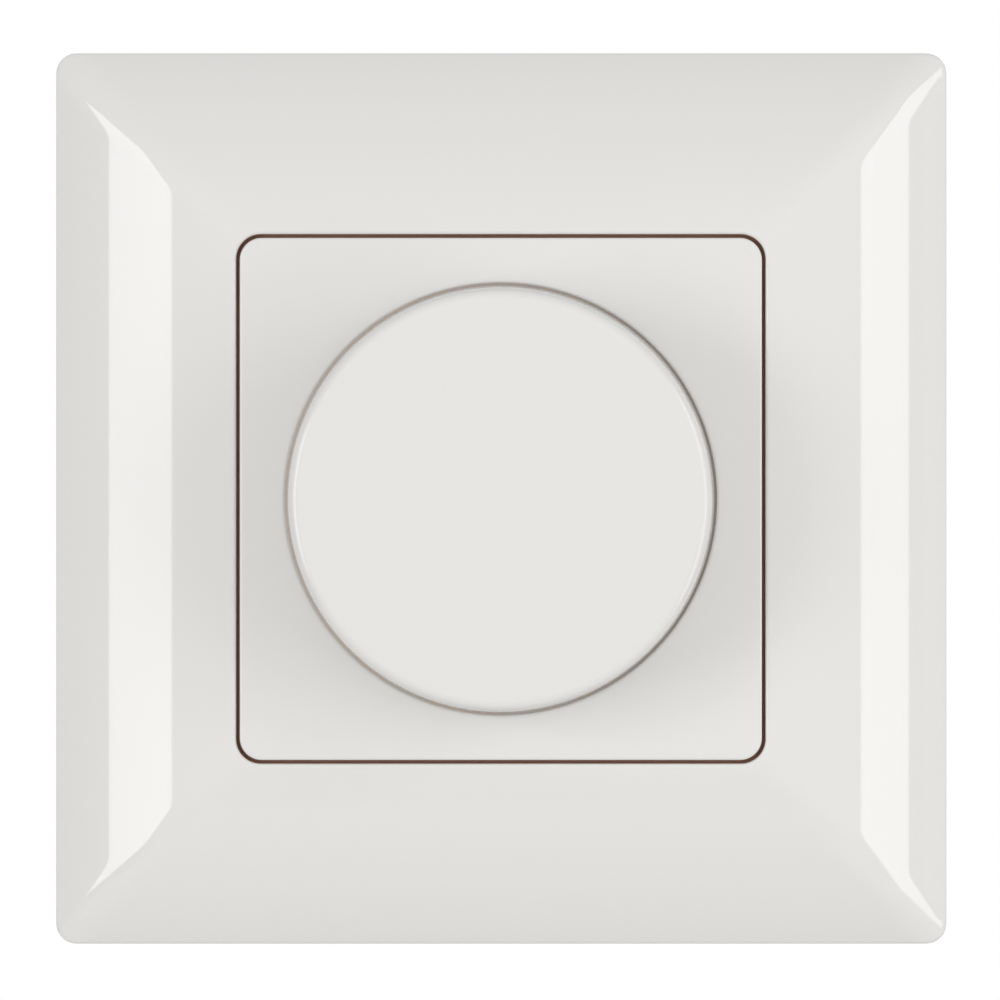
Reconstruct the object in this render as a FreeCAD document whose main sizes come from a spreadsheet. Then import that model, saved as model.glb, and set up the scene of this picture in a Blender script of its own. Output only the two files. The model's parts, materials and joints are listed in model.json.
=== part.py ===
import FreeCAD, Part
import math
import os
import re
import Sketcher
from FreeCAD import Placement, Rotation, Vector

# Rotary dimmer switch for a wall box, 86 mm cover frame, push-and-turn knob.
# Frame: X to the right and Z up as seen from the front, Y into the wall.
# The origin is the centre of the wall plane. Lengths are in mm.
# Every part is drawn in its own axes: x to the right, y up, z out of the wall.

QUARTER_TURN = 90.0
HALF_TURN = 180.0
FULL_TURN = 360.0
TOUCH = 1e-4

# Sizes: name, value, what it is. Heights are counted out of the wall plane,
# so that what sits inside the wall box has a negative height. A value that
# begins with an equals sign follows from the sizes above it.
SIZES = [
    # cover frame
    ("frame_side", 86.0, "outer side of the square cover frame"),
    ("frame_corner", 1.95, "corner radius seen from the front"),
    ("rim_height", 3.0, "height of the upright outer rim"),
    ("slope_radius", 38.0, "radius of the cushion-formed slope"),
    ("slope_reach", 24.3, "half width at which the slope's arc ends"),
    ("slope_height", 10.01, "height at which the slope's arc ends"),
    ("mitre_radius", 2.5, "radius of the soft mitres at the corners"),
    ("window_side", 50.7, "side of the square window"),
    ("window_corner", 2.35, "corner radius of the window"),
    ("window_wall", 1.7, "wall around the window"),
    ("window_edge", 0.5, "edge radius of the window"),
    ("rim_edge", 0.3, "edge radius between the rim and the slope"),
    ("frame_wall", 2.2, "wall of the hollow frame"),
    ("hollow_rise", 1.9, "height of the hollow's outer side"),
    ("hollow_reach", 26.0, "half width at which the hollow's arc ends"),
    ("hollow_roof", 7.62, "height at which the hollow's arc ends"),
    ("ledge_width", 1.05, "inward ledge that the plate rests on"),
    ("ledge_thickness", 1.2, "thickness of that ledge"),
    ("skirt_gap", 0.3, "gap between the window wall and the support ring"),
    ("skirt_room", 76.0, "side of the room left for the support ring"),
    ("screw_room", 11.0, "width of the room left for the screws' heads"),
    ("screw_room_height", 4.6, "height of that room"),
    ("frame_rib", 1.2, "thickness of the ribs in the frame"),
    ("frame_rib_step", 14.0, "distance of a rib from the middle"),
    # central plate
    ("plate_side", 50.0, "side of the square central plate"),
    ("plate_corner", 2.1, "corner radius of the plate"),
    ("plate_edge", 0.35, "edge radius of the plate's face"),
    ("plate_face", 10.2, "height of the plate's face"),
    ("plate_seat", 7.8, "height of the ledge under the plate's rim"),
    ("well_floor", 7.2, "height of the floor of the round well"),
    ("plate_underside", 5.6, "height of the plate's underside"),
    ("well_radius", 20.7, "radius of the round well"),
    ("well_edge", 0.3, "edge radius of the well"),
    ("well_wall", 1.8, "wall around the well"),
    ("plate_bore", 5.2, "radius of the hole for the bush"),
    # knob
    ("knob_base", 9.2, "height of the knob's lower edge"),
    ("knob_face", 21.6, "height of the knob's face"),
    ("knob_radius", 20.0, "radius of the knob at its face"),
    ("knob_foot", 20.25, "radius of the knob at its lower edge"),
    ("knob_edge", 1.0, "edge radius of the knob's face"),
    ("knob_wall", 1.8, "wall of the knob"),
    ("knob_draft", 0.5, "how much narrower the hollow is at its roof"),
    ("knob_inner_edge", 0.5, "edge radius inside the knob"),
    ("knob_travel", 1.5, "how far the knob is pushed"),
    ("hub_radius", 4.6, "radius of the knob's hub"),
    ("hub_base", 12.9, "height of the hub's lower end"),
    ("hub_slit", 0.8, "width of the slits in the hub"),
    ("hub_slit_top", 15.9, "height at which the slits end"),
    ("hub_bore_top", 19.2, "height at which the hub's bore ends"),
    ("knob_rib", 1.2, "thickness of the ribs in the knob"),
    ("knob_rib_base", 16.2, "height of the ribs' lower edge"),
    ("knob_ribs", 3.0, "number of ribs right across the knob"),
    ("clip_base", 13.6, "height of the clamp ring's lower edge"),
    ("clip_top", 15.4, "height of the clamp ring's upper edge"),
    ("clip_wall", 0.5, "wall of the clamp ring"),
    # bush, nut and washer
    ("bush_radius", 5.0, "radius of the threaded bush"),
    ("bush_top", 11.0, "height of the bush's end"),
    ("bush_flange", 7.0, "radius of the bush's flange"),
    ("bush_lead", 0.5, "chamfer at the bush's end"),
    ("thread_gap", 0.03, "clearance of a thread drawn as a cylinder"),
    ("running_gap", 0.05, "clearance of a shaft in its bore"),
    ("washer_radius", 8.4, "radius of the washer"),
    ("washer_thickness", 0.6, "thickness of the washer"),
    ("nut_flats", 14.0, "width of the hexagon nut across its flats"),
    ("nut_height", 2.6, "height of the hexagon nut"),
    ("nut_face", 6.9, "radius at which the nut's chamfer starts"),
    # shaft
    ("shaft_radius", 3.0, "radius of the shaft"),
    ("shaft_tip", 19.0, "height of the shaft's front end"),
    ("shaft_lead", 0.4, "chamfer at the shaft's front end"),
    ("shaft_flat", 1.5, "distance of the knob's flat from the axis"),
    ("shaft_flat_base", 12.5, "height at which that flat begins"),
    ("collar_radius", 4.0, "radius of the shaft's collar"),
    ("collar_top", 1.9, "height of the collar's front face"),
    ("collar_base", 0.9, "height of the collar's rear face"),
    ("drive_radius", 2.6, "radius of the shaft's rear length"),
    ("drive_flat", 1.6, "distance of the rear flat from the axis"),
    ("shaft_rear", -8.0, "height of the shaft's rear end"),
    # potentiometer
    ("recess_gap", 0.3, "clearance around the shaft's collar in the wiper carrier"),
    ("carrier_recess", "=collar_radius + recess_gap", "radius of the carrier's recess"),
    ("collar_wall", 1.0, "wall around that recess"),
    ("carrier_collar", "=carrier_recess + collar_wall", "radius of the carrier's front collar"),
    ("collar_gap", 0.3, "clearance between that collar and the resistor track"),
    ("track_inner", "=carrier_collar + collar_gap", "inner radius of the resistor track"),
    ("track_width", 2.5, "width of the resistor track"),
    ("track_outer", "=track_inner + track_width", "outer radius of the resistor track"),
    ("pot_gap", 0.1, "clearance around the resistor track"),
    ("pot_inner", "=track_outer + pot_gap", "inner radius of the potentiometer"),
    ("pot_wall", 1.3, "wall of the potentiometer"),
    ("pot_radius", "=pot_inner + pot_wall", "outer radius of the potentiometer"),
    ("pot_front", 3.6, "height of the potentiometer's front"),
    ("pot_roof", 2.0, "height of its front wall's inner face"),
    ("pot_rear", -10.0, "height of its open rear edge"),
    ("flange_width", 3.0, "width of its flange"),
    ("pot_flange", "=pot_radius + flange_width", "radius of its flange"),
    ("track_thickness", 0.8, "thickness of the resistor track"),
    ("carrier_front", 1.85, "height of the wiper carrier's front"),
    ("carrier_disc_top", 0.4, "height of its disc's front face"),
    ("carrier_disc_base", -1.4, "height of its disc's rear face"),
    ("carrier_rear", -9.85, "height of its rear end"),
    ("carrier_gap", 0.5, "clearance between its disc and the potentiometer's wall"),
    ("carrier_disc", "=pot_inner - carrier_gap", "radius of its disc"),
    ("carrier_hub", 4.2, "radius of its rear hub"),
    ("carrier_recess_floor", -0.9, "height of that recess's floor"),
    ("wiper_start", 0.12, "where on the track's width the wiper spring begins"),
    ("wiper_end", 0.6, "where on the track's width it ends"),
    ("wiper_inner", "=track_inner + wiper_start * track_width", "inner edge of the wiper spring"),
    ("wiper_outer", "=track_inner + wiper_end * track_width", "outer edge of the wiper spring"),
    ("wiper_sheet", 0.2, "thickness of the wiper spring"),
    ("wiper_foot", 2.4, "how far its foot reaches one way"),
    ("wiper_bend", 0.6, "where its foot ends and its finger begins"),
    ("wiper_reach", 2.2, "how far its finger reaches the other way"),
    ("wiper_rise", 0.55, "how far its finger rises"),
    # push switch
    ("switch_width", 20.0, "width of the push switch"),
    ("switch_depth", 16.0, "depth of the push switch"),
    ("switch_corner", 1.0, "corner radius of the push switch"),
    ("switch_wall", 1.4, "side wall of the push switch"),
    ("switch_roof", 1.2, "front wall of the push switch"),
    ("switch_rear", -19.0, "height of its rear edge"),
    ("switch_base_height", 1.2, "thickness of its base"),
    ("plunger_radius", 1.3, "radius of the slider's plunger"),
    ("slider_top", -11.5, "height of the slider's block"),
    ("slider_base", -13.0, "height of the block's rear face"),
    ("slider_width", 8.0, "width of the slider's block"),
    ("slider_depth", 6.4, "depth of the slider's block"),
    ("spigot_radius", 1.6, "radius of the slider's spring spigot"),
    ("spigot_end", -14.4, "height of that spigot's end"),
    ("bridge_width", 14.0, "length of the contact bridge"),
    ("bridge_depth", 4.6, "width of the contact bridge"),
    ("bridge_sheet", 0.4, "thickness of the contact bridge"),
    ("spring_radius", 2.3, "middle radius of the return spring"),
    ("spring_wire", 0.25, "radius of its wire"),
    ("spring_turns", 4.5, "number of its turns"),
    ("contact_place", 6.2, "distance of a fixed contact from the axis"),
    ("contact_width", 2.6, "width of a fixed contact"),
    ("contact_depth", 3.2, "depth of a fixed contact"),
    ("contact_sheet", 0.6, "thickness of a fixed contact"),
    ("contact_gap", 0.1, "gap left at a fixed contact when pushed"),
    # support ring and its fixings
    ("ring_side", 71.0, "side of the support ring"),
    ("ring_corner", 3.0, "corner radius of the support ring"),
    ("ring_thickness", 1.0, "thickness of the support ring"),
    ("ring_gap", 1.0, "clearance around the potentiometer in the support ring"),
    ("ring_bore", "=pot_radius + ring_gap", "radius of its middle hole"),
    ("slot_place", 30.0, "distance of a box screw slot from the middle"),
    ("slot_length", 6.4, "length of a box screw slot"),
    ("slot_radius", 1.9, "half width of a box screw slot"),
    ("claw_slot_length", 5.2, "length of a claw screw's slot"),
    ("rivet_across", 14.5, "distance of a rivet to the side"),
    ("rivet_up", 17.0, "distance of a rivet upward or downward"),
    ("rivet_radius", 1.5, "radius of a rivet's shank"),
    ("rivet_head", 2.6, "radius of a rivet's head"),
    ("rivet_head_height", 0.8, "height of a rivet's head"),
    ("rivet_tail", 2.1, "radius of a rivet's closed end"),
    ("rivet_tail_height", 0.9, "height of a rivet's closed end"),
    ("rivet_gap", 0.04, "clearance around a rivet"),
    # claws
    ("claw_place", 23.0, "distance of a claw's screw from the middle"),
    ("claw_width", 9.0, "width of a claw"),
    ("claw_inner", 1.6, "how far its flange reaches toward the housing"),
    ("claw_outer", 3.1, "distance of its outer face from the screw"),
    ("claw_sheet", 1.2, "thickness of its arm"),
    ("claw_flange_top", -2.8, "its flange's front face, from the ring's face"),
    ("claw_flange_base", -4.4, "its flange's rear face, from the ring's face"),
    ("claw_end", -19.0, "its end, from the ring's face"),
    ("claw_tip", 4.4, "how far its tip reaches from the screw"),
    ("claw_bend", 1.8, "outer radius of its bends"),
    ("claw_inner_bend", 0.6, "inner radius of its bends"),
    ("claw_notch", 1.4, "width of a notch between its teeth"),
    ("claw_notch_place", 2.0, "distance of a notch from its middle"),
    ("claw_screw_radius", 1.5, "radius of a claw's screw"),
    ("claw_screw_head", 2.7, "radius of its head"),
    ("claw_screw_neck", 1.6, "radius below the head's cone"),
    ("claw_head_base", 0.1, "lower end of the head's cone"),
    ("claw_head_edge", 1.0, "upper end of the head's cone"),
    ("claw_head_top", 1.8, "top of the head"),
    ("claw_screw_end", -13.0, "end of the screw"),
    ("driver_slot", 0.8, "width of a screwdriver slot"),
    ("driver_depth", 0.6, "depth of a screwdriver slot"),
    # housing in the wall box
    ("tub_side_x", 21.0, "half width of the eight-sided housing"),
    ("tub_corner_y", 18.5, "half length of its upright sides"),
    ("tub_corner_x", 13.0, "half length of its level sides"),
    ("tub_side_y", 25.0, "half height of the housing"),
    ("tub_inner_x", 19.4, "half width of its room"),
    ("tub_inner_corner_y", 17.7, "half length of the room's upright sides"),
    ("tub_inner_corner_x", 12.4, "half length of the room's level sides"),
    ("tub_inner_y", 23.4, "half height of its room"),
    ("tub_round", 0.8, "corner radius of the housing"),
    ("tub_rear", -22.0, "height of its open rear edge"),
    ("tub_roof", -1.6, "height of its front wall's inner face"),
    ("bore_gap", 0.3, "clearance around the potentiometer in the housing"),
    ("tub_bore", "=pot_radius + bore_gap", "radius of the hole for the potentiometer"),
    ("post_radius", 2.3, "radius of a screw post"),
    ("post_a_x", 15.0, "first post, to the right"),
    ("post_a_y", 17.2, "first post, upward"),
    ("post_b_x", -16.6, "second post, to the right"),
    ("post_b_y", -17.4, "second post, upward"),
    ("post_bore_end", -12.4, "height at which a post's bore ends"),
    ("boss_radius", 2.3, "radius of a board boss"),
    ("boss_a_x", -16.3, "first boss, to the right"),
    ("boss_a_y", 10.2, "first boss, upward"),
    ("boss_b_x", 16.6, "second boss, to the right"),
    ("boss_b_y", -13.2, "second boss, upward"),
    ("boss_bore_end", -0.8, "height at which a boss's bore ends"),
    ("cover_thickness", 2.0, "thickness of the rear cover"),
    ("cover_lip", 1.0, "height of its lip"),
    ("lip_gap", 0.2, "clearance around the lip"),
    ("lip_wall", 1.0, "wall of the lip"),
    ("lip_notch", 2.9, "radius of the lip's notch at a post"),
    ("cover_edge", 0.5, "chamfer of the rear cover"),
    ("entry_width", 6.6, "width of a wire entry"),
    ("entry_height", 5.0, "height of a wire entry"),
    ("entry_corner", 0.8, "corner radius of a wire entry"),
    ("stay_width", 8.0, "width of the stay under the push switch"),
    ("stay_depth", 6.0, "depth of that stay"),
    ("cover_screw_radius", 1.1, "radius of a cover screw"),
    ("cover_screw_head", 1.9, "radius of a cover screw's head"),
    ("cover_screw_head_height", 1.0, "height of its head"),
    ("cover_screw_length", 8.0, "length under its head"),
    ("cover_sink", 2.2, "radius of its countersink in the cover"),
    ("cover_sink_depth", 1.1, "depth of that countersink"),
    # circuit board and what it carries
    ("board_front", -3.0, "height of the board's front face"),
    ("board_back", -4.6, "height of the board's back face"),
    ("board_gap", 0.3, "clearance around the board"),
    ("board_notch", 2.7, "radius of its notch at a post"),
    ("board_screw_radius", 1.1, "radius of a board screw"),
    ("board_screw_head", 1.9, "radius of its head"),
    ("board_screw_head_height", 1.2, "height of its head"),
    ("board_screw_length", 3.2, "length under its head"),
    ("choke_x", -8.4, "choke, to the right"),
    ("choke_y", 15.9, "choke, upward"),
    ("choke_outer", 6.0, "outer radius of its core"),
    ("choke_inner", 3.2, "inner radius of its core"),
    ("choke_height", 5.4, "height of its core"),
    ("winding_wall", 0.6, "thickness of its winding"),
    ("winding_groove", 0.9, "width of a groove between turns"),
    ("winding_groove_depth", 0.25, "depth of such a groove"),
    ("winding_turns", 14.0, "number of those grooves"),
    ("can_x", 8.4, "electrolytic capacitor, to the right"),
    ("can_y", 17.4, "electrolytic capacitor, upward"),
    ("can_radius", 4.0, "its radius"),
    ("can_height", 11.5, "its height"),
    ("can_edge", 0.5, "its edge radius"),
    ("can_bead", 0.35, "depth of the bead near its foot"),
    ("can_bead_place", 1.8, "distance of the bead from its foot"),
    ("film_x", -16.3, "film capacitor, to the right"),
    ("film_y", 0.4, "film capacitor, upward"),
    ("film_width", 5.0, "its width"),
    ("film_depth", 11.4, "its depth"),
    ("film_height", 10.6, "its height"),
    ("film_edge", 0.4, "its corner radius"),
    ("spreader_x", 18.5, "heat spreader, to the right"),
    ("spreader_sheet", 1.2, "its thickness"),
    ("spreader_depth", 21.0, "its depth"),
    ("spreader_rear", -20.4, "height of its rear edge"),
    ("transistor_y", 5.1, "a transistor's distance from the middle"),
    ("transistor_width", 9.6, "its width"),
    ("transistor_thickness", 4.4, "its thickness"),
    ("transistor_tab", 1.3, "thickness of its tab"),
    ("transistor_front", -8.6, "height of its body's front"),
    ("transistor_rear", -17.4, "height of its body's rear"),
    ("tab_rear", -20.0, "height of its tab's rear edge"),
    ("lead_width", 0.9, "width of a lead"),
    ("lead_step", 2.54, "distance between leads"),
    ("varistor_x", -16.6, "varistor, to the right"),
    ("varistor_y", -10.6, "varistor, upward"),
    ("varistor_radius", 4.2, "its radius"),
    ("varistor_thickness", 3.2, "its thickness"),
    ("varistor_edge", 0.8, "its edge radius"),
    ("varistor_lift", 0.6, "its height over the board"),
    ("resistor_a_x", -0.4, "first resistor, to the right"),
    ("resistor_b_x", 2.5, "second resistor, to the right"),
    ("resistor_y", 12.0, "lower end of a resistor"),
    ("resistor_radius", 1.1, "its radius at the ends"),
    ("resistor_waist", 0.95, "its radius in the middle"),
    ("resistor_cap", 1.5, "length of an end"),
    ("resistor_length", 6.8, "its length"),
    ("chip_x", 14.4, "control chip, to the right"),
    ("chip_y", 12.4, "control chip, upward"),
    ("chip_width", 3.9, "its width"),
    ("chip_depth", 4.9, "its depth"),
    ("chip_height", 1.6, "its height"),
    ("chip_leg", 0.5, "width of a leg"),
    ("chip_leg_step", 1.27, "distance between its legs"),
    ("chip_span", 5.6, "width over its legs"),
    ("trimmer_x", -13.0, "trimmer, to the right"),
    ("trimmer_y", -12.6, "trimmer, upward"),
    ("trimmer_radius", 3.2, "radius of the trimmer's body"),
    ("trimmer_front", -0.2, "height of its body's front"),
    ("trimmer_rotor", 2.0, "radius of its rotor"),
    ("trimmer_tip", 0.9, "height of its rotor's front"),
    ("trimmer_room", 3.6, "radius of its hole in the housing"),
    ("trimmer_window", 2.6, "radius of its hole in the support ring"),
    # terminals
    ("terminal_step", 10.0, "distance between terminals"),
    ("terminal_y", -17.1, "terminals, upward"),
    ("block_width", 28.4, "width of the terminal block"),
    ("block_depth", 7.8, "depth of the terminal block"),
    ("block_relief_width", 7.0, "width of such a hollow"),
    ("block_relief_depth", 5.0, "depth of such a hollow"),
    ("cage_width", 7.8, "width of a terminal cage"),
    ("cage_depth", 6.4, "depth of a terminal cage"),
    ("cage_wall", 0.9, "wall of a terminal cage"),
    ("cage_front", -11.4, "height of a cage's front end"),
    ("cage_rear", -20.6, "height of a cage's rear end"),
    ("cage_gap", 0.08, "clearance around a cage"),
    ("terminal_screw_height", -15.2, "height of a terminal screw's axis"),
    ("terminal_screw_radius", 1.6, "radius of a terminal screw"),
    ("terminal_screw_head", 2.3, "radius of its head"),
    ("terminal_screw_head_height", 1.6, "height of its head"),
    ("terminal_head_gap", 0.3, "gap between its head and the block"),
    ("terminal_screw_tip", 1.2, "how far it stands into the cage"),
    ("access_radius", 2.5, "radius of the screwdriver hole"),
]

doc = FreeCAD.newDocument("rotary_dimmer")
sheet = doc.addObject("Spreadsheet::Sheet", "Sizes")
for row, (name, value, meaning) in enumerate(SIZES, start=1):
    sheet.set("A%d" % row, meaning)
    sheet.set("B%d" % row, str(value))
    sheet.setAlias("B%d" % row, name)
doc.recompute()

NAMES = {name for name, value, meaning in SIZES}
OUT_OF_WALL = Rotation(Vector(1, 0, 0), QUARTER_TURN)
TURNED_ROUND = OUT_OF_WALL * Rotation(Vector(0, 0, 1), HALF_TURN)
UPWARD = Rotation()
DOWNWARD = Rotation(Vector(1, 0, 0), HALF_TURN)
SIDEWAYS = Rotation(Vector(0, 1, 0), QUARTER_TURN)
bodies = []
counter = [0]


def full(expression):
    """The expression with every size's name led back to the sheet."""
    return re.sub(
        r"[A-Za-z_]\w*",
        lambda found: "Sizes." + found.group() if found.group() in NAMES else found.group(),
        str(expression),
    )


def number(expression):
    """The expression's value now."""
    return float(sheet.evalExpression(full(expression)))


def bind(thing, path, expression):
    """Bind one property of a feature to the sheet."""
    thing.setExpression(path, full(expression))


def body_at(label, height="0", across="0", up="0", turn=OUT_OF_WALL):
    """A new body whose own origin stands at this place."""
    body = doc.addObject("PartDesign::Body", label)
    body.Label = label
    place = Vector(number(across), -number(height), number(up))
    body.Placement = Placement(place, turn)
    bind(body, "Placement.Base.x", across)
    bind(body, "Placement.Base.y", "-(%s)" % height)
    bind(body, "Placement.Base.z", up)
    bodies.append(body)
    return body


def sketch_on(body, role, offset="0"):
    """A sketch on one of the body's own planes, moved along its normal."""
    counter[0] += 1
    sketch = body.newObject("Sketcher::SketchObject", "Sketch%03d" % counter[0])
    plane = [part for part in body.Origin.OriginFeatures if part.Role == role][0]
    sketch.AttachmentSupport = [(plane, "")]
    sketch.MapMode = "FlatFace"
    bind(sketch, "AttachmentOffset.Base.z", offset)
    return sketch


def place_point(sketch, geometry, point, x, y):
    """Hold a point of the sketch at this place."""
    for axis, expression in (("DistanceX", x), ("DistanceY", y)):
        value = number(expression)
        index = sketch.addConstraint(Sketcher.Constraint(axis, -1, 1, geometry, point, value))
        bind(sketch, "Constraints[%d]" % index, expression)


def set_radius(sketch, geometry, expression):
    """Hold an arc's or circle's radius."""
    index = sketch.addConstraint(Sketcher.Constraint("Radius", geometry, number(expression)))
    bind(sketch, "Constraints[%d]" % index, expression)


def toward(start, end):
    """The unit vector from start to end."""
    step = end - start
    return step / step.Length


def outline(corners, bows=None):
    """A closed outline of corners (x, y) or (x, y, radius). bows gives the
    radius of each edge that is an arc, by the number of its first corner."""
    bows = bows or {}

    def draw(sketch):
        points = [Vector(number(c[0]), number(c[1]), 0) for c in corners]
        radii = [number(c[2]) if len(c) > 2 else 0.0 for c in corners]
        count = len(points)
        ends = []
        for i, point in enumerate(points):
            back = toward(point, points[i - 1])
            ahead = toward(point, points[(i + 1) % count])
            half = back.getAngle(ahead) / 2
            cut = radii[i] / math.tan(half) if radii[i] else 0.0
            ends.append((point + back * cut, point + ahead * cut, back + ahead))
        edges = []
        for i in range(count):
            start, end = ends[i][1], ends[(i + 1) % count][0]
            if i in bows:
                radius = number(bows[i])
                middle = (start + end) / 2
                half = (end - start).Length / 2
                sag = radius - math.sqrt(radius * radius - half * half)
                along = toward(start, end)
                crest = middle + Vector(along.y, -along.x, 0) * sag
                edges.append(sketch.addGeometry(Part.ArcOfCircle(start, crest, end), False))
            else:
                edges.append(sketch.addGeometry(Part.LineSegment(start, end), False))

        def end_point(geometry, place):
            return 1 if (sketch.Geometry[geometry].StartPoint - place).Length < TOUCH else 2

        for i, point in enumerate(points):
            before, after = edges[i - 1], edges[i]
            first, second = ends[i][0], ends[i][1]
            before_end = end_point(before, first)
            after_end = end_point(after, second)
            if radii[i]:
                inward = ends[i][2] / ends[i][2].Length
                reach = math.hypot(radii[i], (first - point).Length) - radii[i]
                arc = sketch.addGeometry(
                    Part.ArcOfCircle(first, point + inward * reach, second), False
                )
                arc_start = end_point(arc, first)
                sketch.addConstraint(
                    Sketcher.Constraint("Tangent", before, before_end, arc, arc_start)
                )
                sketch.addConstraint(
                    Sketcher.Constraint("Tangent", after, after_end, arc, 3 - arc_start)
                )
                set_radius(sketch, arc, corners[i][2])
                helper = sketch.addGeometry(Part.Point(point), True)
                sketch.addConstraint(Sketcher.Constraint("PointOnObject", helper, 1, before))
                sketch.addConstraint(Sketcher.Constraint("PointOnObject", helper, 1, after))
                place_point(sketch, helper, 1, corners[i][0], corners[i][1])
            else:
                sketch.addConstraint(
                    Sketcher.Constraint("Coincident", before, before_end, after, after_end)
                )
                place_point(sketch, after, after_end, corners[i][0], corners[i][1])
        for i, radius in bows.items():
            set_radius(sketch, edges[i], radius)

    return draw


def rect(width, height, x="0", y="0", corner=None):
    """A rectangle around a middle point, with rounded corners if asked."""
    corners = []
    for sign_x, sign_y in (("-", "-"), ("+", "-"), ("+", "+"), ("-", "+")):
        place = ("(%s) %s (%s) / 2" % (x, sign_x, width), "(%s) %s (%s) / 2" % (y, sign_y, height))
        corners.append(place + ((corner,) if corner else ()))
    return outline(corners)


def octagon(side_x, corner_y, corner_x, side_y, less="0", corner=None):
    """An eight-sided outline with two equal halves each way."""
    a, b = "(%s) - (%s)" % (side_x, less), "(%s) - (%s) / 2" % (corner_y, less)
    c, d = "(%s) - (%s) / 2" % (corner_x, less), "(%s) - (%s)" % (side_y, less)
    flip = "-(%s)"
    places = [
        (a, flip % b), (a, b), (c, d), (flip % c, d),
        (flip % a, b), (flip % a, flip % b), (flip % c, flip % d), (c, flip % d),
    ]
    return outline([place + ((corner,) if corner else ()) for place in places])


def hexagon(flats):
    """A hexagon of this width across its flats."""
    half = "(%s) / 2" % flats
    tip = "(%s) / sqrt(3)" % flats
    side = "(%s) / sqrt(3) / 2" % flats
    flip = "-(%s)"
    return outline([
        (tip, "0"), (side, half), (flip % side, half),
        (flip % tip, "0"), (flip % side, flip % half), (side, flip % half),
    ])


def disc(radius, x="0", y="0"):
    """A circle."""

    def draw(sketch):
        centre = Vector(number(x), number(y), 0)
        circle = sketch.addGeometry(
            Part.Circle(centre, Vector(0, 0, 1), number(radius)), False
        )
        set_radius(sketch, circle, radius)
        place_point(sketch, circle, 3, x, y)

    return draw


def flatted(radius, flat):
    """A circle around the origin with one flat at this distance to the right."""

    def draw(sketch):
        rise = math.sqrt(number(radius) ** 2 - number(flat) ** 2)
        top = Vector(number(flat), rise, 0)
        low = Vector(number(flat), -rise, 0)
        line = sketch.addGeometry(Part.LineSegment(low, top), False)
        arc = sketch.addGeometry(
            Part.ArcOfCircle(top, Vector(-number(radius), 0, 0), low), False
        )
        arc_top = 1 if (sketch.Geometry[arc].StartPoint - top).Length < TOUCH else 2
        sketch.addConstraint(Sketcher.Constraint("Coincident", line, 2, arc, arc_top))
        sketch.addConstraint(Sketcher.Constraint("Coincident", line, 1, arc, 3 - arc_top))
        sketch.addConstraint(Sketcher.Constraint("Coincident", arc, 3, -1, 1))
        sketch.addConstraint(Sketcher.Constraint("Vertical", line))
        set_radius(sketch, arc, radius)
        index = sketch.addConstraint(
            Sketcher.Constraint("DistanceX", -1, 1, line, 1, number(flat))
        )
        bind(sketch, "Constraints[%d]" % index, flat)

    return draw


def slot(length, radius, x="0", y="0", upright=False):
    """A slot with round ends, its length counted over the ends."""

    def draw(sketch):
        half = number(length) / 2 - number(radius)
        along = Vector(0, 1, 0) if upright else Vector(1, 0, 0)
        side = Vector(-along.y, along.x, 0)
        middle = Vector(number(x), number(y), 0)
        r = number(radius)
        far, near = middle + along * half, middle - along * half
        lines = [
            sketch.addGeometry(Part.LineSegment(near - side * r, far - side * r), False),
            sketch.addGeometry(Part.LineSegment(far + side * r, near + side * r), False),
        ]
        arcs = [
            sketch.addGeometry(Part.ArcOfCircle(far - side * r, far + along * r, far + side * r), False),
            sketch.addGeometry(Part.ArcOfCircle(near + side * r, near - along * r, near - side * r), False),
        ]
        sketch.addConstraint(Sketcher.Constraint("Tangent", lines[0], 2, arcs[0], 1))
        sketch.addConstraint(Sketcher.Constraint("Tangent", arcs[0], 2, lines[1], 1))
        sketch.addConstraint(Sketcher.Constraint("Tangent", lines[1], 2, arcs[1], 1))
        sketch.addConstraint(Sketcher.Constraint("Tangent", arcs[1], 2, lines[0], 1))
        sketch.addConstraint(Sketcher.Constraint("Equal", arcs[0], arcs[1]))
        set_radius(sketch, arcs[0], radius)
        step = "((%s) / 2 - (%s))" % (length, radius)
        for arc, sign in ((arcs[0], "+"), (arcs[1], "-")):
            if upright:
                place_point(sketch, arc, 3, x, "(%s) %s %s" % (y, sign, step))
            else:
                place_point(sketch, arc, 3, "(%s) %s %s" % (x, sign, step), y)

    return draw


PLANES = {"z": "XY_Plane", "y": "XZ_Plane", "x": "YZ_Plane"}


def extrude(body, kind, low, high, shapes, axis):
    """Add or cut the shapes between two places along one of the body's axes."""
    adding = kind == "PartDesign::Pad"
    if axis == "y":
        offset = "-(%s)" % (high if adding else low)
    else:
        offset = low if adding else high
    sketch = sketch_on(body, PLANES[axis], offset)
    for draw in shapes:
        draw(sketch)
    counter[0] += 1
    feature = body.newObject(kind, "Feature%03d" % counter[0])
    feature.Profile = sketch
    bind(feature, "Length", "(%s) - (%s)" % (high, low))
    doc.recompute()
    return feature


def pad(body, low, high, *shapes, axis="z"):
    return extrude(body, "PartDesign::Pad", low, high, shapes, axis)


def cut(body, low, high, *shapes, axis="z"):
    return extrude(body, "PartDesign::Pocket", low, high, shapes, axis)


def turned(body, *shapes, kind="PartDesign::Revolution", angle=FULL_TURN):
    """Turn shapes drawn in radius and height around the body's z axis."""
    sketch = sketch_on(body, "XZ_Plane")
    for draw in shapes:
        draw(sketch)
    counter[0] += 1
    feature = body.newObject(kind, "Feature%03d" % counter[0])
    feature.Profile = sketch
    feature.ReferenceAxis = (sketch, ["V_Axis"])
    feature.Angle = angle
    doc.recompute()
    return feature


def turned_cut(body, *shapes):
    return turned(body, *shapes, kind="PartDesign::Groove")


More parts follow.
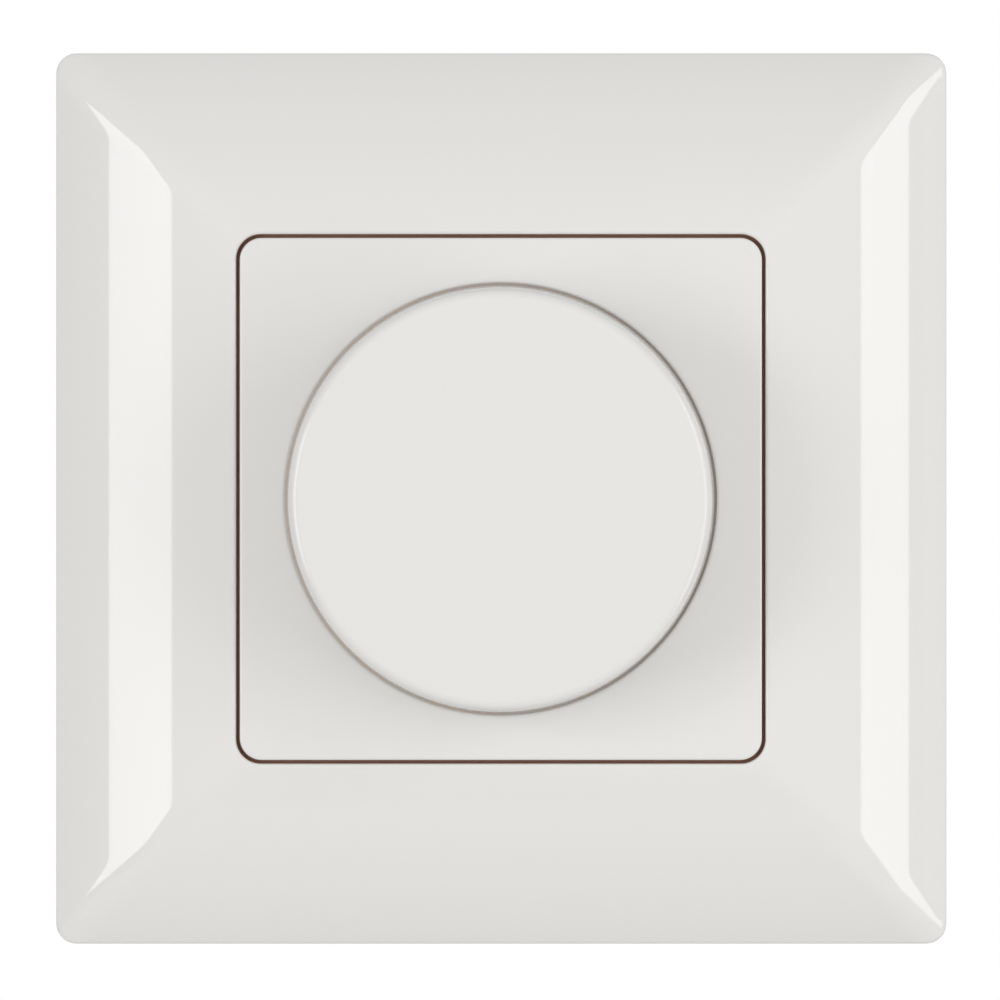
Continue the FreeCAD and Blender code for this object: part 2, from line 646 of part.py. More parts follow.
def around(body, feature, count, extent=FULL_TURN):
    """Repeat a feature around the body's z axis."""
    counter[0] += 1
    pattern = body.newObject("PartDesign::PolarPattern", "Pattern%03d" % counter[0])
    pattern.Originals = [feature]
    pattern.Axis = (feature.Profile[0], ["N_Axis"])
    pattern.Angle = extent
    pattern.Occurrences = int(number(count))
    body.Tip = pattern
    doc.recompute()
    return pattern


def dress(body, kind, size_name, size, pick):
    """Round or chamfer the edges that pick chooses on the body's shape."""
    base = body.Tip
    names = ["Edge%d" % i for i, edge in enumerate(base.Shape.Edges, start=1) if pick(edge)]
    counter[0] += 1
    feature = body.newObject(kind, "Edges%03d" % counter[0])
    feature.Base = (base, names)
    bind(feature, size_name, size)
    doc.recompute()
    return feature


def rounded(body, radius, pick):
    return dress(body, "PartDesign::Fillet", "Radius", radius, pick)


def chamfered(body, size, pick):
    return dress(body, "PartDesign::Chamfer", "Size", size, pick)


def level(height):
    """Picks edges that lie level at this height."""
    value = number(height)

    def pick(edge):
        box = edge.BoundBox
        return abs(box.ZMin - value) < TOUCH and abs(box.ZMax - value) < TOUCH

    return pick


def along_y(*places):
    """Picks straight edges along the body's y axis at these places (x, z)."""
    wanted = [(number(x), number(z)) for x, z in places]

    def pick(edge):
        box = edge.BoundBox
        thin = box.XLength < TOUCH and box.ZLength < TOUCH
        near = [max(abs(box.XMin - x), abs(box.ZMin - z)) < TOUCH for x, z in wanted]
        return thin and any(near)

    return pick


# Cover frame: a cushion form with soft mitres, hollow from behind.
def cushion(body, half, rise, reach, height, radius):
    """The common room of two crossed profiles with bowed slopes."""
    flip = "-(%s)"
    slopes = [(half, rise), (reach, height), (flip % reach, height), (flip % half, rise)]
    profile = outline(slopes + [(flip % half, "0"), (half, "0")], {0: radius, 2: radius})
    pad(body, flip % half, half, profile, axis="x")
    far = "(%s) + (%s)" % (half, height)
    deep = flip % height
    over = "(%s) + (%s)" % (height, rise)
    outside = outline(
        slopes
        + [
            (flip % half, deep),
            (flip % far, deep),
            (flip % far, over),
            (far, over),
            (far, deep),
            (half, deep),
        ],
        {0: radius, 2: radius},
    )
    cut(body, flip % far, far, outside, axis="y")


def reach_of(edge):
    """How far from the middle an edge reaches to a side."""
    box = edge.BoundBox
    return max(abs(box.XMin), abs(box.XMax), abs(box.YMin), abs(box.YMax))


def on_mitre(edge):
    """Picks the long edges along the diagonals."""
    middle, box = edge.CenterOfMass, edge.BoundBox
    diagonal = abs(abs(middle.x) - abs(middle.y)) < number("window_corner") / 10
    return diagonal and box.ZLength > number("rim_height") and box.XLength > number("rim_height")


def on_window(edge):
    """Picks the edges around the window's front."""
    inside = reach_of(edge) < number("window_side / 2 + frame_wall / 2")
    return inside and edge.BoundBox.ZMin > number("(plate_seat + slope_height) / 2")


def on_rim(edge):
    """Picks the edges between the rim and the slope."""
    box = edge.BoundBox
    outside = reach_of(edge) > number("frame_side / 2 - frame_corner")
    low, high = number("rim_height / 2"), number("rim_height * 3 / 2")
    return outside and box.ZMin > low and box.ZMax < high


frame = body_at("cover_frame")
half_frame = "frame_side / 2"
cushion(frame, half_frame, "rim_height", "slope_reach", "slope_height", "slope_radius")
window = rect("window_side", "window_side", corner="window_corner")
ledge_side = "(window_side - 2 * ledge_width)"
ledge_corner = "(window_corner - ledge_width)"
cut(frame, "0", "slope_height * 2", window)
around_side = "frame_side * 3 / 2"
cut(
    frame,
    "-rim_height",
    "slope_height * 2",
    rect(around_side, around_side),
    rect("frame_side", "frame_side", corner="frame_corner"),
)
rounded(frame, "mitre_radius", on_mitre)
rounded(frame, "window_edge", on_window)
rounded(frame, "rim_edge", on_rim)
pad(
    frame,
    "plate_seat - ledge_thickness",
    "plate_seat",
    rect("window_side + window_wall", "window_side + window_wall", corner="window_corner"),
    rect(ledge_side, ledge_side, corner=ledge_corner),
)
hollow = body_at("frame_hollow", turn=UPWARD)
bodies.remove(hollow)
cushion(
    hollow,
    "frame_side / 2 - frame_wall",
    "hollow_rise",
    "hollow_reach",
    "hollow_roof",
    "slope_radius - frame_wall",
)
wall_side = "(window_side + 2 * window_wall)"
wall_corner = "(window_corner + window_wall)"
cut(hollow, "0", "hollow_roof", rect(wall_side, wall_side, corner=wall_corner))
for rib_axis in ("x", "y"):
    ribs = []
    for place in ("-frame_rib_step", "frame_rib_step"):
        ribs.append(rect("frame_rib", "hollow_roof * 2", x=place, y="hollow_roof / 2"))
    cut(hollow, "-frame_side / 2", "frame_side / 2", *ribs, axis=rib_axis)
room = body_at("frame_room", turn=UPWARD)
bodies.remove(room)
pad(room, "-skirt_gap", "ring_thickness + skirt_gap", rect("skirt_room", "skirt_room"))
pad(room, "0", "screw_room_height", rect("skirt_room", "screw_room"))
pad(room, "0", "screw_room_height", rect("screw_room", "skirt_room"))
counter[0] += 1
boolean = frame.newObject("PartDesign::Boolean", "Hollowed")
boolean.setObjects([hollow, room])
boolean.Type = "Cut"
doc.recompute()

# Central plate with its round well.
plate = body_at("central_plate", "plate_underside")
plate_top = "plate_face - plate_underside"
pad(plate, "0", plate_top, disc("well_radius + well_wall"))
seat = "plate_seat - plate_underside"
pad(plate, seat, plate_top, rect("plate_side", "plate_side", corner="plate_corner"))
cut(plate, "well_floor - plate_underside", plate_top, disc("well_radius"))
cut(plate, "0", plate_top, disc("plate_bore"))


def on_plate_face(edge):
    reach = max(edge.BoundBox.XMax, -edge.BoundBox.XMin, edge.BoundBox.YMax, -edge.BoundBox.YMin)
    return level(plate_top)(edge) and reach > number("well_radius + well_wall")


def on_well(edge):
    return level(plate_top)(edge) and edge.BoundBox.XLength < number("2 * well_radius + well_wall")


rounded(plate, "plate_edge", on_plate_face)
rounded(plate, "well_edge", on_well)

# Knob with a hub for the flatted shaft, its clamp ring and the shaft.
knob = body_at("knob", "knob_base")
roof = "knob_face - knob_base"
inner = "(knob_radius - knob_wall - knob_draft)"
turned(
    knob,
    outline([
        ("0", "hub_base - knob_base"),
        ("hub_radius", "hub_base - knob_base"),
        ("hub_radius", "%s - knob_wall" % roof),
        (inner, "%s - knob_wall" % roof, "knob_inner_edge"),
        ("knob_foot - knob_wall", "0"),
        ("knob_foot", "0"),
        ("knob_radius", roof, "knob_edge"),
        ("0", roof),
    ]),
)
rib = pad(
    knob,
    "knob_rib_base - knob_base",
    "%s - knob_wall / 2" % roof,
    rect("2 * %s + knob_draft" % inner, "knob_rib"),
)
around(knob, rib, "knob_ribs", FULL_TURN / 3)
cut(
    knob,
    "hub_base - knob_base",
    "hub_bore_top - knob_base",
    flatted("shaft_radius", "shaft_flat"),
)
cut(
    knob,
    "hub_base - knob_base",
    "hub_slit_top - knob_base",
    rect("3 * hub_radius", "hub_slit"),
)
clip = body_at("knob_clip", "clip_base")
pad(clip, "0", "clip_top - clip_base", disc("hub_radius + clip_wall"), disc("hub_radius"))
cut(clip, "0", "clip_top - clip_base", rect("2 * hub_radius", "2 * hub_slit", x="-hub_radius"))
shaft = body_at("shaft", "shaft_rear")
shaft_top = "shaft_tip - shaft_rear"
turned(
    shaft,
    outline([
        ("0", "0"),
        ("drive_radius", "0"),
        ("drive_radius", "collar_base - shaft_rear"),
        ("collar_radius", "collar_base - shaft_rear"),
        ("collar_radius", "collar_top - shaft_rear"),
        ("shaft_radius", "collar_top - shaft_rear"),
        ("shaft_radius", "%s - shaft_lead" % shaft_top),
        ("shaft_radius - shaft_lead", shaft_top),
        ("0", shaft_top),
    ]),
)
for flat, low, high in (
    ("shaft_flat", "shaft_flat_base - shaft_rear", shaft_top),
    ("drive_flat", "0", "collar_base - shaft_rear"),
):
    beyond = rect("shaft_radius", "3 * shaft_radius", x="%s + shaft_radius / 2" % flat)
    cut(shaft, low, high, beyond)

# Threaded bush, washer and hexagon nut.
bush = body_at("bush", "pot_roof")
bush_length = "bush_top - pot_roof"
turned(
    bush,
    outline([
        ("shaft_radius + running_gap", "0"),
        ("bush_radius", "0"),
        ("bush_radius", "pot_front - pot_roof"),
        ("bush_flange", "pot_front - pot_roof"),
        ("bush_flange", "plate_underside - pot_roof"),
        ("bush_radius", "plate_underside - pot_roof"),
        ("bush_radius", "%s - bush_lead" % bush_length),
        ("bush_radius - bush_lead", bush_length),
        ("shaft_radius + running_gap", bush_length),
    ]),
)
washer = body_at("nut_washer", "well_floor")
pad(washer, "0", "washer_thickness", disc("washer_radius"), disc("plate_bore"))
nut = body_at("plate_nut", "well_floor + washer_thickness")
pad(nut, "0", "nut_height", hexagon("nut_flats"), disc("bush_radius + thread_gap"))
nut_tip = "(nut_flats / sqrt(3))"
turned_cut(
    nut,
    outline([
        ("nut_face", "nut_height"),
        ("%s * 1.2" % nut_tip, "nut_height - (%s * 1.2 - nut_face) / 2" % nut_tip),
        ("%s * 1.2" % nut_tip, "nut_height * 1.2"),
        ("nut_face", "nut_height * 1.2"),
    ]),
)

# Potentiometer: case, resistor track, wiper carrier and wiper spring.
pot = body_at("pot_case", "pot_rear")
turned(
    pot,
    outline([
        ("bush_radius + thread_gap", "pot_roof - pot_rear"),
        ("pot_inner", "pot_roof - pot_rear"),
        ("pot_inner", "0"),
        ("pot_radius", "0"),
        ("pot_radius", "board_front - pot_rear"),
        ("pot_flange", "board_front - pot_rear"),
        ("pot_flange", "tub_roof - pot_rear"),
        ("pot_radius", "tub_roof - pot_rear"),
        ("pot_radius", "pot_front - pot_rear"),
        ("bush_radius + thread_gap", "pot_front - pot_rear"),
    ]),
)
track = body_at("resistor_track", "pot_roof - track_thickness")
pad(track, "0", "track_thickness", disc("track_outer"), disc("track_inner"))
carrier = body_at("wiper_carrier", "carrier_rear")
turned(
    carrier,
    outline([
        ("0", "0"),
        ("carrier_hub", "0"),
        ("carrier_hub", "carrier_disc_base - carrier_rear"),
        ("carrier_disc", "carrier_disc_base - carrier_rear"),
        ("carrier_disc", "carrier_disc_top - carrier_rear"),
        ("carrier_collar", "carrier_disc_top - carrier_rear"),
        ("carrier_collar", "carrier_front - carrier_rear"),
        ("carrier_recess", "carrier_front - carrier_rear"),
        ("carrier_recess", "carrier_recess_floor - carrier_rear"),
        ("0", "carrier_recess_floor - carrier_rear"),
    ]),
)
cut(
    carrier,
    "0",
    "carrier_recess_floor - carrier_rear",
    flatted("drive_radius + running_gap", "drive_flat + running_gap"),
)
wiper = body_at("wiper_spring", "carrier_disc_top")
pad(
    wiper,
    "wiper_inner",
    "wiper_outer",
    outline([
        ("-wiper_foot", "0"),
        ("-wiper_bend", "0"),
        ("wiper_reach", "wiper_rise"),
        ("wiper_reach", "wiper_rise + wiper_sheet"),
        ("-wiper_bend", "wiper_sheet"),
        ("-wiper_foot", "wiper_sheet"),
    ]),
    axis="x",
)

# Push switch behind the potentiometer.
switch = body_at("switch_case", "switch_rear")
switch_height = "pot_rear - switch_rear"
pad(switch, "0", switch_height, rect("switch_width", "switch_depth", corner="switch_corner"))
cut(
    switch,
    "0",
    "%s - switch_roof" % switch_height,
    rect("switch_width - 2 * switch_wall", "switch_depth - 2 * switch_wall"),
)
cut(switch, "0", switch_height, disc("plunger_radius + running_gap"))
base = body_at("switch_base", "switch_rear - switch_base_height")
pad(base, "0", "switch_base_height", rect("switch_width", "switch_depth", corner="switch_corner"))
slider = body_at("switch_slider", "slider_base")
pad(slider, "0", "slider_top - slider_base", rect("slider_width", "slider_depth"))
pad(slider, "slider_top - slider_base", "shaft_rear - slider_base", disc("plunger_radius"))
pad(slider, "spigot_end - slider_base", "0", disc("spigot_radius"))
bridge = body_at("contact_bridge", "slider_base - bridge_sheet")
pad(
    bridge,
    "0",
    "bridge_sheet",
    rect("bridge_width", "bridge_depth"),
    disc("spigot_radius + thread_gap"),
)
contact_top = "slider_base - bridge_sheet - knob_travel - contact_gap"
for name, turn in (("left", TURNED_ROUND), ("right", OUT_OF_WALL)):
    contact = body_at("fixed_contact_" + name, "switch_rear", turn=turn)
    upper = "%s - switch_rear" % contact_top
    edge_x = "contact_place + contact_width / 2"
    pad(
        contact,
        "-contact_depth / 2",
        "contact_depth / 2",
        outline([
            ("%s - contact_sheet" % edge_x, "0"),
            (edge_x, "0"),
            (edge_x, upper),
            ("%s - contact_width" % edge_x, upper),
            ("%s - contact_width" % edge_x, "%s - contact_sheet" % upper),
            ("%s - contact_sheet" % edge_x, "%s - contact_sheet" % upper),
        ]),
        axis="y",
    )
coil = doc.addObject("Part::Helix", "SpringPath")
wire = doc.addObject("Part::Circle", "SpringWire")
spring = doc.addObject("Part::Sweep", "switch_spring")
spring.Label = "switch_spring"
spring_room = "(slider_base - bridge_sheet - switch_rear)"
bind(coil, "Radius", "spring_radius")
bind(coil, "Height", "%s - 2 * spring_wire" % spring_room)
bind(coil, "Pitch", "(%s - 2 * spring_wire) / spring_turns" % spring_room)
bind(wire, "Radius", "spring_wire")
bind(wire, "Placement.Base.x", "spring_radius")
wire.Placement = Placement(Vector(number("spring_radius"), 0, 0), OUT_OF_WALL)
spring.Sections = [wire]
spring.Spine = (coil, [])
spring.Solid = True
spring.Frenet = True
spring.Placement = Placement(
    Vector(0, -number("switch_rear + spring_wire"), 0), OUT_OF_WALL
)
doc.recompute()
bodies.append(spring)

# Support ring with slots for the box screws and for the claw screws.
ring = body_at("support_ring")
pad(ring, "0", "ring_thickness", rect("ring_side", "ring_side", corner="ring_corner"))
holes = [disc("ring_bore"), disc("trimmer_window", "trimmer_x", "trimmer_y")]
for sign in ("", "-"):
    holes.append(slot("slot_length", "slot_radius", x=sign + "slot_place"))
    holes.append(slot("slot_length", "slot_radius", y=sign + "slot_place", upright=True))
    holes.append(slot("claw_slot_length", "slot_radius", x=sign + "claw_place"))
rivets = (("upper", "-rivet_across", "rivet_up"), ("lower", "rivet_across", "-rivet_up"))
for name, x, y in rivets:
    holes.append(disc("rivet_radius + rivet_gap", x, y))
cut(ring, "0", "ring_thickness", *holes)
for name, x, y in rivets:
    rivet = body_at("rivet_" + name, "tub_roof - rivet_tail_height", x, y)
    turned(
        rivet,
        outline([
            ("0", "0"),
            ("rivet_tail", "0"),
            ("rivet_tail", "rivet_tail_height"),
            ("rivet_radius", "rivet_tail_height"),
            ("rivet_radius", "rivet_tail_height - tub_roof + ring_thickness"),
            ("rivet_head", "rivet_tail_height - tub_roof + ring_thickness"),
            (
                "rivet_head",
                "rivet_tail_height - tub_roof + ring_thickness + rivet_head_height",
                "rivet_head_height / 2",
            ),
            ("0", "rivet_tail_height - tub_roof + ring_thickness + rivet_head_height"),
        ]),
    )

# Claws that grip the wall box, each with its screw.
for name, turn, sign in (("left", TURNED_ROUND, "-"), ("right", OUT_OF_WALL, "")):
    claw = body_at("claw_" + name, "ring_thickness", sign + "claw_place", turn=turn)
    pad(
        claw,
        "-claw_width / 2",
        "claw_width / 2",
        outline([
            ("-claw_inner", "claw_flange_base"),
            ("claw_outer - claw_sheet", "claw_flange_base"),
            ("claw_outer - claw_sheet", "claw_end"),
            ("claw_tip", "claw_end"),
            ("claw_tip", "claw_end + claw_sheet"),
            ("claw_outer", "claw_end + claw_sheet"),
            ("claw_outer", "claw_flange_top"),
            ("-claw_inner", "claw_flange_top"),
        ]),
        axis="y",
    )
    sheet_x = "claw_outer - claw_sheet"
    rounded(claw, "claw_bend", along_y(("claw_outer", "claw_flange_top"), (sheet_x, "claw_end")))
    rounded(
        claw,
        "claw_inner_bend",
        along_y((sheet_x, "claw_flange_base"), ("claw_outer", "claw_end + claw_sheet")),
    )
    cut(claw, "claw_flange_base", "claw_flange_top", disc("claw_screw_radius + thread_gap"))
    notches = []
    for side in ("-", ""):
        notches.append(rect("claw_notch", "claw_notch", "claw_tip", side + "claw_notch_place"))
    cut(claw, "claw_end", "claw_end + claw_sheet", *notches)
    screw = body_at("claw_screw_" + name, "ring_thickness", sign + "claw_place", turn=turn)
    turned(
        screw,
        outline([
            ("0", "claw_screw_end"),
            ("claw_screw_radius", "claw_screw_end"),
            ("claw_screw_radius", "claw_head_base"),
            ("claw_screw_neck", "claw_head_base"),
            ("claw_screw_head", "claw_head_edge"),
            ("claw_screw_head", "claw_head_top"),
            ("0", "claw_head_top"),
        ]),
    )
    cut(
        screw,
        "claw_head_top - driver_depth",
        "claw_head_top",
        rect("driver_slot", "3 * claw_screw_head"),
    )

# Housing behind the wall, open toward the rear, and its rear cover.
tub = body_at("housing", "tub_rear")
tub_top = "-tub_rear"
tub_shape = ("tub_side_x", "tub_corner_y", "tub_corner_x", "tub_side_y")
tub_inner = ("tub_inner_x", "tub_inner_corner_y", "tub_inner_corner_x", "tub_inner_y")
pad(tub, "0", tub_top, octagon(*tub_shape, corner="tub_round"))
cut(tub, "0", "tub_roof - tub_rear", octagon(*tub_inner))
posts = (("post_a_x", "post_a_y"), ("post_b_x", "post_b_y"))
bosses = (("boss_a_x", "boss_a_y"), ("boss_b_x", "boss_b_y"))
for x, y in posts:
    pad(tub, "0", "tub_roof - tub_rear", disc("post_radius", x, y))
for x, y in bosses:
    pad(tub, "board_front - tub_rear", "tub_roof - tub_rear", disc("boss_radius", x, y))
front_holes = [disc("tub_bore"), disc("trimmer_room", "trimmer_x", "trimmer_y")]
for name, x, y in rivets:
    front_holes.append(disc("rivet_radius + rivet_gap", x, y))
cut(tub, "tub_roof - tub_rear", tub_top, *front_holes)
post_bores = [disc("cover_screw_radius + thread_gap", x, y) for x, y in posts]
cut(tub, "0", "post_bore_end - tub_rear", *post_bores)
boss_bores = [disc("board_screw_radius + thread_gap", x, y) for x, y in bosses]
cut(tub, "board_front - tub_rear", "boss_bore_end - tub_rear", *boss_bores)
terminals = ("-terminal_step", "0", "terminal_step")
access = [disc("access_radius", x, "terminal_screw_height - tub_rear") for x in terminals]
cut(tub, "-tub_side_y", "-tub_inner_y", *access, axis="y")

cover = body_at("rear_cover", "tub_rear - cover_thickness")
pad(cover, "0", "cover_thickness", octagon(*tub_shape, corner="tub_round"))
lip_top = "cover_thickness + cover_lip"
pad(cover, "cover_thickness", lip_top, octagon(*tub_inner, less="lip_gap"))
cut(cover, "cover_thickness", lip_top, octagon(*tub_inner, less="lip_gap + lip_wall"))
cut(cover, "cover_thickness", lip_top, *[disc("lip_notch", x, y) for x, y in posts])
stay_top = "cover_thickness + switch_rear - switch_base_height - tub_rear"
pad(cover, "cover_thickness", stay_top, rect("stay_width", "stay_depth"))
entries = []
for x in terminals:
    entries.append(rect("entry_width", "entry_height", x, "terminal_y", "entry_corner"))
through = [disc("cover_screw_radius + rivet_gap * 5", x, y) for x, y in posts]
cut(cover, "0", "cover_thickness", *entries, *through)
cut(cover, "0", "cover_sink_depth", *[disc("cover_sink", x, y) for x, y in posts])
chamfered(
    cover,
    "cover_edge",
    lambda edge: level("0")(edge)
    and edge.Length > number("2 * tub_corner_x - 2 * tub_round") / 3
    and max(abs(edge.CenterOfMass.x), abs(edge.CenterOfMass.y)) > number("tub_side_x") / 2
    and edge.CenterOfMass.Length > number("tub_side_x") - TOUCH,
)
for (x, y), name in zip(posts, ("upper", "lower")):
    screw_base = "tub_rear - cover_thickness + cover_sink_depth - cover_screw_head_height"
    screw = body_at("cover_screw_" + name, screw_base, x, y)
    turned(
        screw,
        outline([
            ("0", "0"),
            ("cover_screw_head", "0"),
            ("cover_screw_head", "cover_screw_head_height"),
            ("cover_screw_radius", "cover_screw_head_height"),
            ("cover_screw_radius", "cover_screw_head_height + cover_screw_length"),
            ("0", "cover_screw_head_height + cover_screw_length"),
        ]),
    )
    cut(screw, "0", "driver_depth", rect("driver_slot", "3 * cover_screw_head"))

# Circuit board with its screws.
board = body_at("circuit_board", "board_back")
board_height = "board_front - board_back"
pad(board, "0", board_height, octagon(*tub_inner, less="board_gap"))
board_holes = [disc("tub_bore", "0", "0")]
cut(board, "0", board_height, *board_holes)
cut(board, "0", board_height, *[disc("board_notch", x, y) for x, y in posts])
screw_gap = "board_screw_radius + rivet_gap * 5"
cut(board, "0", board_height, *[disc(screw_gap, x, y) for x, y in bosses])
for (x, y), name in zip(bosses, ("upper", "lower")):
    screw = body_at("board_screw_" + name, "board_back - board_screw_head_height", x, y)
    turned(
        screw,
        outline([
            ("0", "0"),
            ("board_screw_head", "0"),
            ("board_screw_head", "board_screw_head_height"),
            ("board_screw_radius", "board_screw_head_height"),
            ("board_screw_radius", "board_screw_head_height + board_screw_length"),
            ("0", "board_screw_head_height + board_screw_length"),
        ]),
    )
    cut(screw, "0", "driver_depth", rect("driver_slot", "3 * board_screw_head"))

# Choke: ring core inside a grooved winding.
winding_height = "(choke_height + 2 * winding_wall)"
core = body_at(
    "choke_core", "board_back - winding_wall - choke_height", "choke_x", "choke_y"
)
pad(core, "0", "choke_height", disc("choke_outer"), disc("choke_inner"))
winding = body_at(
    "choke_winding", "board_back - %s" % winding_height, "choke_x", "choke_y"
)
pad(
    winding,
    "0",
    winding_height,
    disc("choke_outer + winding_wall"),
    disc("choke_inner - winding_wall"),
)
grooves = cut(
    winding,
    "0",
    winding_height,
    rect(
        "2 * winding_groove_depth",
        "winding_groove",
        "choke_outer + winding_wall",
    ),
)
around(winding, grooves, "winding_turns", FULL_TURN)
turned_cut(
    winding,
    rect(
        "choke_outer - choke_inner",
        "choke_height",
        "(choke_outer + choke_inner) / 2",
        "%s / 2" % winding_height,
    ),
)

# Capacitors.
can = body_at("electrolytic_capacitor", "board_back - can_height", "can_x", "can_y")
turned(
    can,
    outline([
        ("0", "0"),
        ("can_radius", "0", "can_edge"),
        ("can_radius", "can_height - 2 * can_bead_place"),
        ("can_radius - can_bead", "can_height - can_bead_place"),
        ("can_radius", "can_height - can_bead_place / 2"),
        ("can_radius", "can_height"),
        ("0", "can_height"),
    ]),
)
film = body_at("film_capacitor", "board_back - film_height", "film_x", "film_y")
pad(film, "0", "film_height", rect("film_width", "film_depth", corner="film_edge"))

# Transistors against the heat spreader.
spreader = body_at("heat_spreader", "spreader_rear", "spreader_x")
spreader_height = "board_back - spreader_rear"
pad(spreader, "0", spreader_height, rect("spreader_sheet", "spreader_depth"))
tab_face = "spreader_x - spreader_sheet / 2"
for name, sign in (("upper", ""), ("lower", "-")):
    device = body_at("transistor_" + name, "tab_rear", tab_face, sign + "transistor_y")
    pad(
        device,
        "0",
        "transistor_front - tab_rear",
        rect("transistor_tab", "transistor_width", "-transistor_tab / 2"),
    )
    pad(
        device,
        "transistor_rear - tab_rear",
        "transistor_front - tab_rear",
        rect("transistor_thickness", "transistor_width", "-transistor_thickness / 2"),
    )
    leads = []
    for step in ("-lead_step", "0", "lead_step"):
        leads.append(rect("lead_width / 2", "lead_width", "-transistor_thickness / 2", step))
    pad(device, "transistor_front - tab_rear", "board_back - tab_rear", *leads)

# Varistor, resistors and control chip.
varistor = body_at(
    "varistor",
    "board_back - varistor_lift - varistor_radius",
    "varistor_x",
    "varistor_y",
    SIDEWAYS,
)
turned(
    varistor,
    outline([
        ("0", "-varistor_thickness / 2"),
        ("varistor_radius", "-varistor_thickness / 2", "varistor_edge"),
        ("varistor_radius", "varistor_thickness / 2", "varistor_edge"),
        ("0", "varistor_thickness / 2"),
    ]),
)
pad(
    varistor,
    "-varistor_radius - varistor_lift",
    "-varistor_radius / 2",
    rect("lead_width / 2", "lead_width / 2", "-lead_step"),
    rect("lead_width / 2", "lead_width / 2", "lead_step"),
    axis="y",
)
for name in ("a", "b"):
    part = body_at(
        "resistor_" + name,
        "board_back - resistor_radius",
        "resistor_%s_x" % name,
        "resistor_y",
        UPWARD,
    )
    turned(
        part,
        outline([
            ("0", "0"),
            ("resistor_radius", "0"),
            ("resistor_radius", "resistor_cap"),
            ("resistor_waist", "resistor_cap"),
            ("resistor_waist", "resistor_length - resistor_cap"),
            ("resistor_radius", "resistor_length - resistor_cap"),
            ("resistor_radius", "resistor_length"),
            ("0", "resistor_length"),
        ]),
    )
chip = body_at("control_chip", "board_back - chip_height", "chip_x", "chip_y")
pad(chip, "0", "chip_height", rect("chip_width", "chip_depth"))
legs = []
for place in ("-1.5", "-0.5", "0.5", "1.5"):
    legs.append(rect("chip_span", "chip_leg", y="%s * chip_leg_step" % place))
pad(chip, "chip_height - chip_leg / 2", "chip_height", *legs)

# Trimmer for the lowest brightness, reached from the front.
trimmer = body_at("trimmer_body", "board_front", "trimmer_x", "trimmer_y")
pad(trimmer, "0", "trimmer_front - board_front", disc("trimmer_radius"))
rotor = body_at("trimmer_rotor", "trimmer_front", "trimmer_x", "trimmer_y")
rotor_top = "trimmer_tip - trimmer_front"
pad(rotor, "0", rotor_top, disc("trimmer_rotor"))
cut(
    rotor,
    "%s - driver_depth" % rotor_top,
    rotor_top,
    rect("driver_slot", "3 * trimmer_rotor"),
)

# Terminal block with its cages and screws.
block = body_at("terminal_block", "tub_rear", "0", "terminal_y")
block_height = "board_back - tub_rear"
pad(block, "0", block_height, rect("block_width", "block_depth"))
pockets = []
reliefs = []
screw_holes = []
screw_height = "terminal_screw_height - tub_rear"
for x in terminals:
    pockets.append(rect("cage_width + 2 * cage_gap", "cage_depth + 2 * cage_gap", x))
    reliefs.append(rect("block_relief_width", "block_relief_depth", x))
    screw_holes.append(disc("terminal_screw_radius + running_gap", x, screw_height))
cut(block, "0", "cage_front - tub_rear", *pockets)
cut(block, "cage_front + cage_wall - tub_rear", block_height, *reliefs)
cut(block, "-block_depth / 2", "0", *screw_holes, axis="y")
for index, x in enumerate(terminals, start=1):
    cage = body_at("terminal_cage_%d" % index, "cage_rear", x, "terminal_y")
    cage_length = "cage_front - cage_rear"
    pad(cage, "0", cage_length, rect("cage_width", "cage_depth"))
    cut(
        cage,
        "0",
        cage_length,
        rect("cage_width - 2 * cage_wall", "cage_depth - 2 * cage_wall"),
    )
    cut(
        cage,
        "-cage_depth / 2",
        "0",
        disc("terminal_screw_radius + thread_gap", "0", "terminal_screw_height - cage_rear"),
        axis="y",
    )
    tip = "terminal_y - cage_depth / 2 + cage_wall + terminal_screw_tip"
    screw = body_at("terminal_screw_%d" % index, "terminal_screw_height", x, tip, DOWNWARD)
    neck = "(terminal_screw_tip + cage_wall + (block_depth - cage_depth) / 2 + terminal_head_gap)"
    turned(
        screw,
        outline([
            ("0", "0"),
            ("terminal_screw_radius", "0"),
            ("terminal_screw_radius", neck),
            ("terminal_screw_head", neck),
            ("terminal_screw_head", "%s + terminal_screw_head_height" % neck),
            ("0", "%s + terminal_screw_head_height" % neck),
        ]),
    )
    cut(
        screw,
        "%s + terminal_screw_head_height - driver_depth" % neck,
        "%s + terminal_screw_head_height" % neck,
        rect("driver_slot", "3 * terminal_screw_head"),
    )

# Check every feature, then write each part.
doc.recompute()
faults = []
for thing in doc.Objects:
    if "Invalid" in thing.State or "Error" in thing.State:
        faults.append("%s: %s" % (thing.Label, thing.State))
for body in bodies:
    if body.Shape.isNull() or not body.Shape.isValid() or len(body.Shape.Solids) != 1:
        faults.append("%s: %d solids" % (body.Label, len(body.Shape.Solids)))
for fault in faults:
    print("fault:", fault)
if faults:
    raise RuntimeError("%d faulty features" % len(faults))
os.makedirs("parts", exist_ok=True)
for body in bodies:
    body.Shape.exportStep("parts/%s.step" % body.Label)
print("%d parts written" % len(bodies))
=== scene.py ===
# %% [markdown]
# # A push-and-turn dimmer for the wall
# The CAD model gives every piece its place and size. This lesson dresses it:
# it makes the three pieces that catch the light smooth enough for a gloss
# finish, gives every other piece a procedural material, and lights the whole
# like a product photograph. Lengths are in metres, X points to the right,
# Y into the wall and Z up.

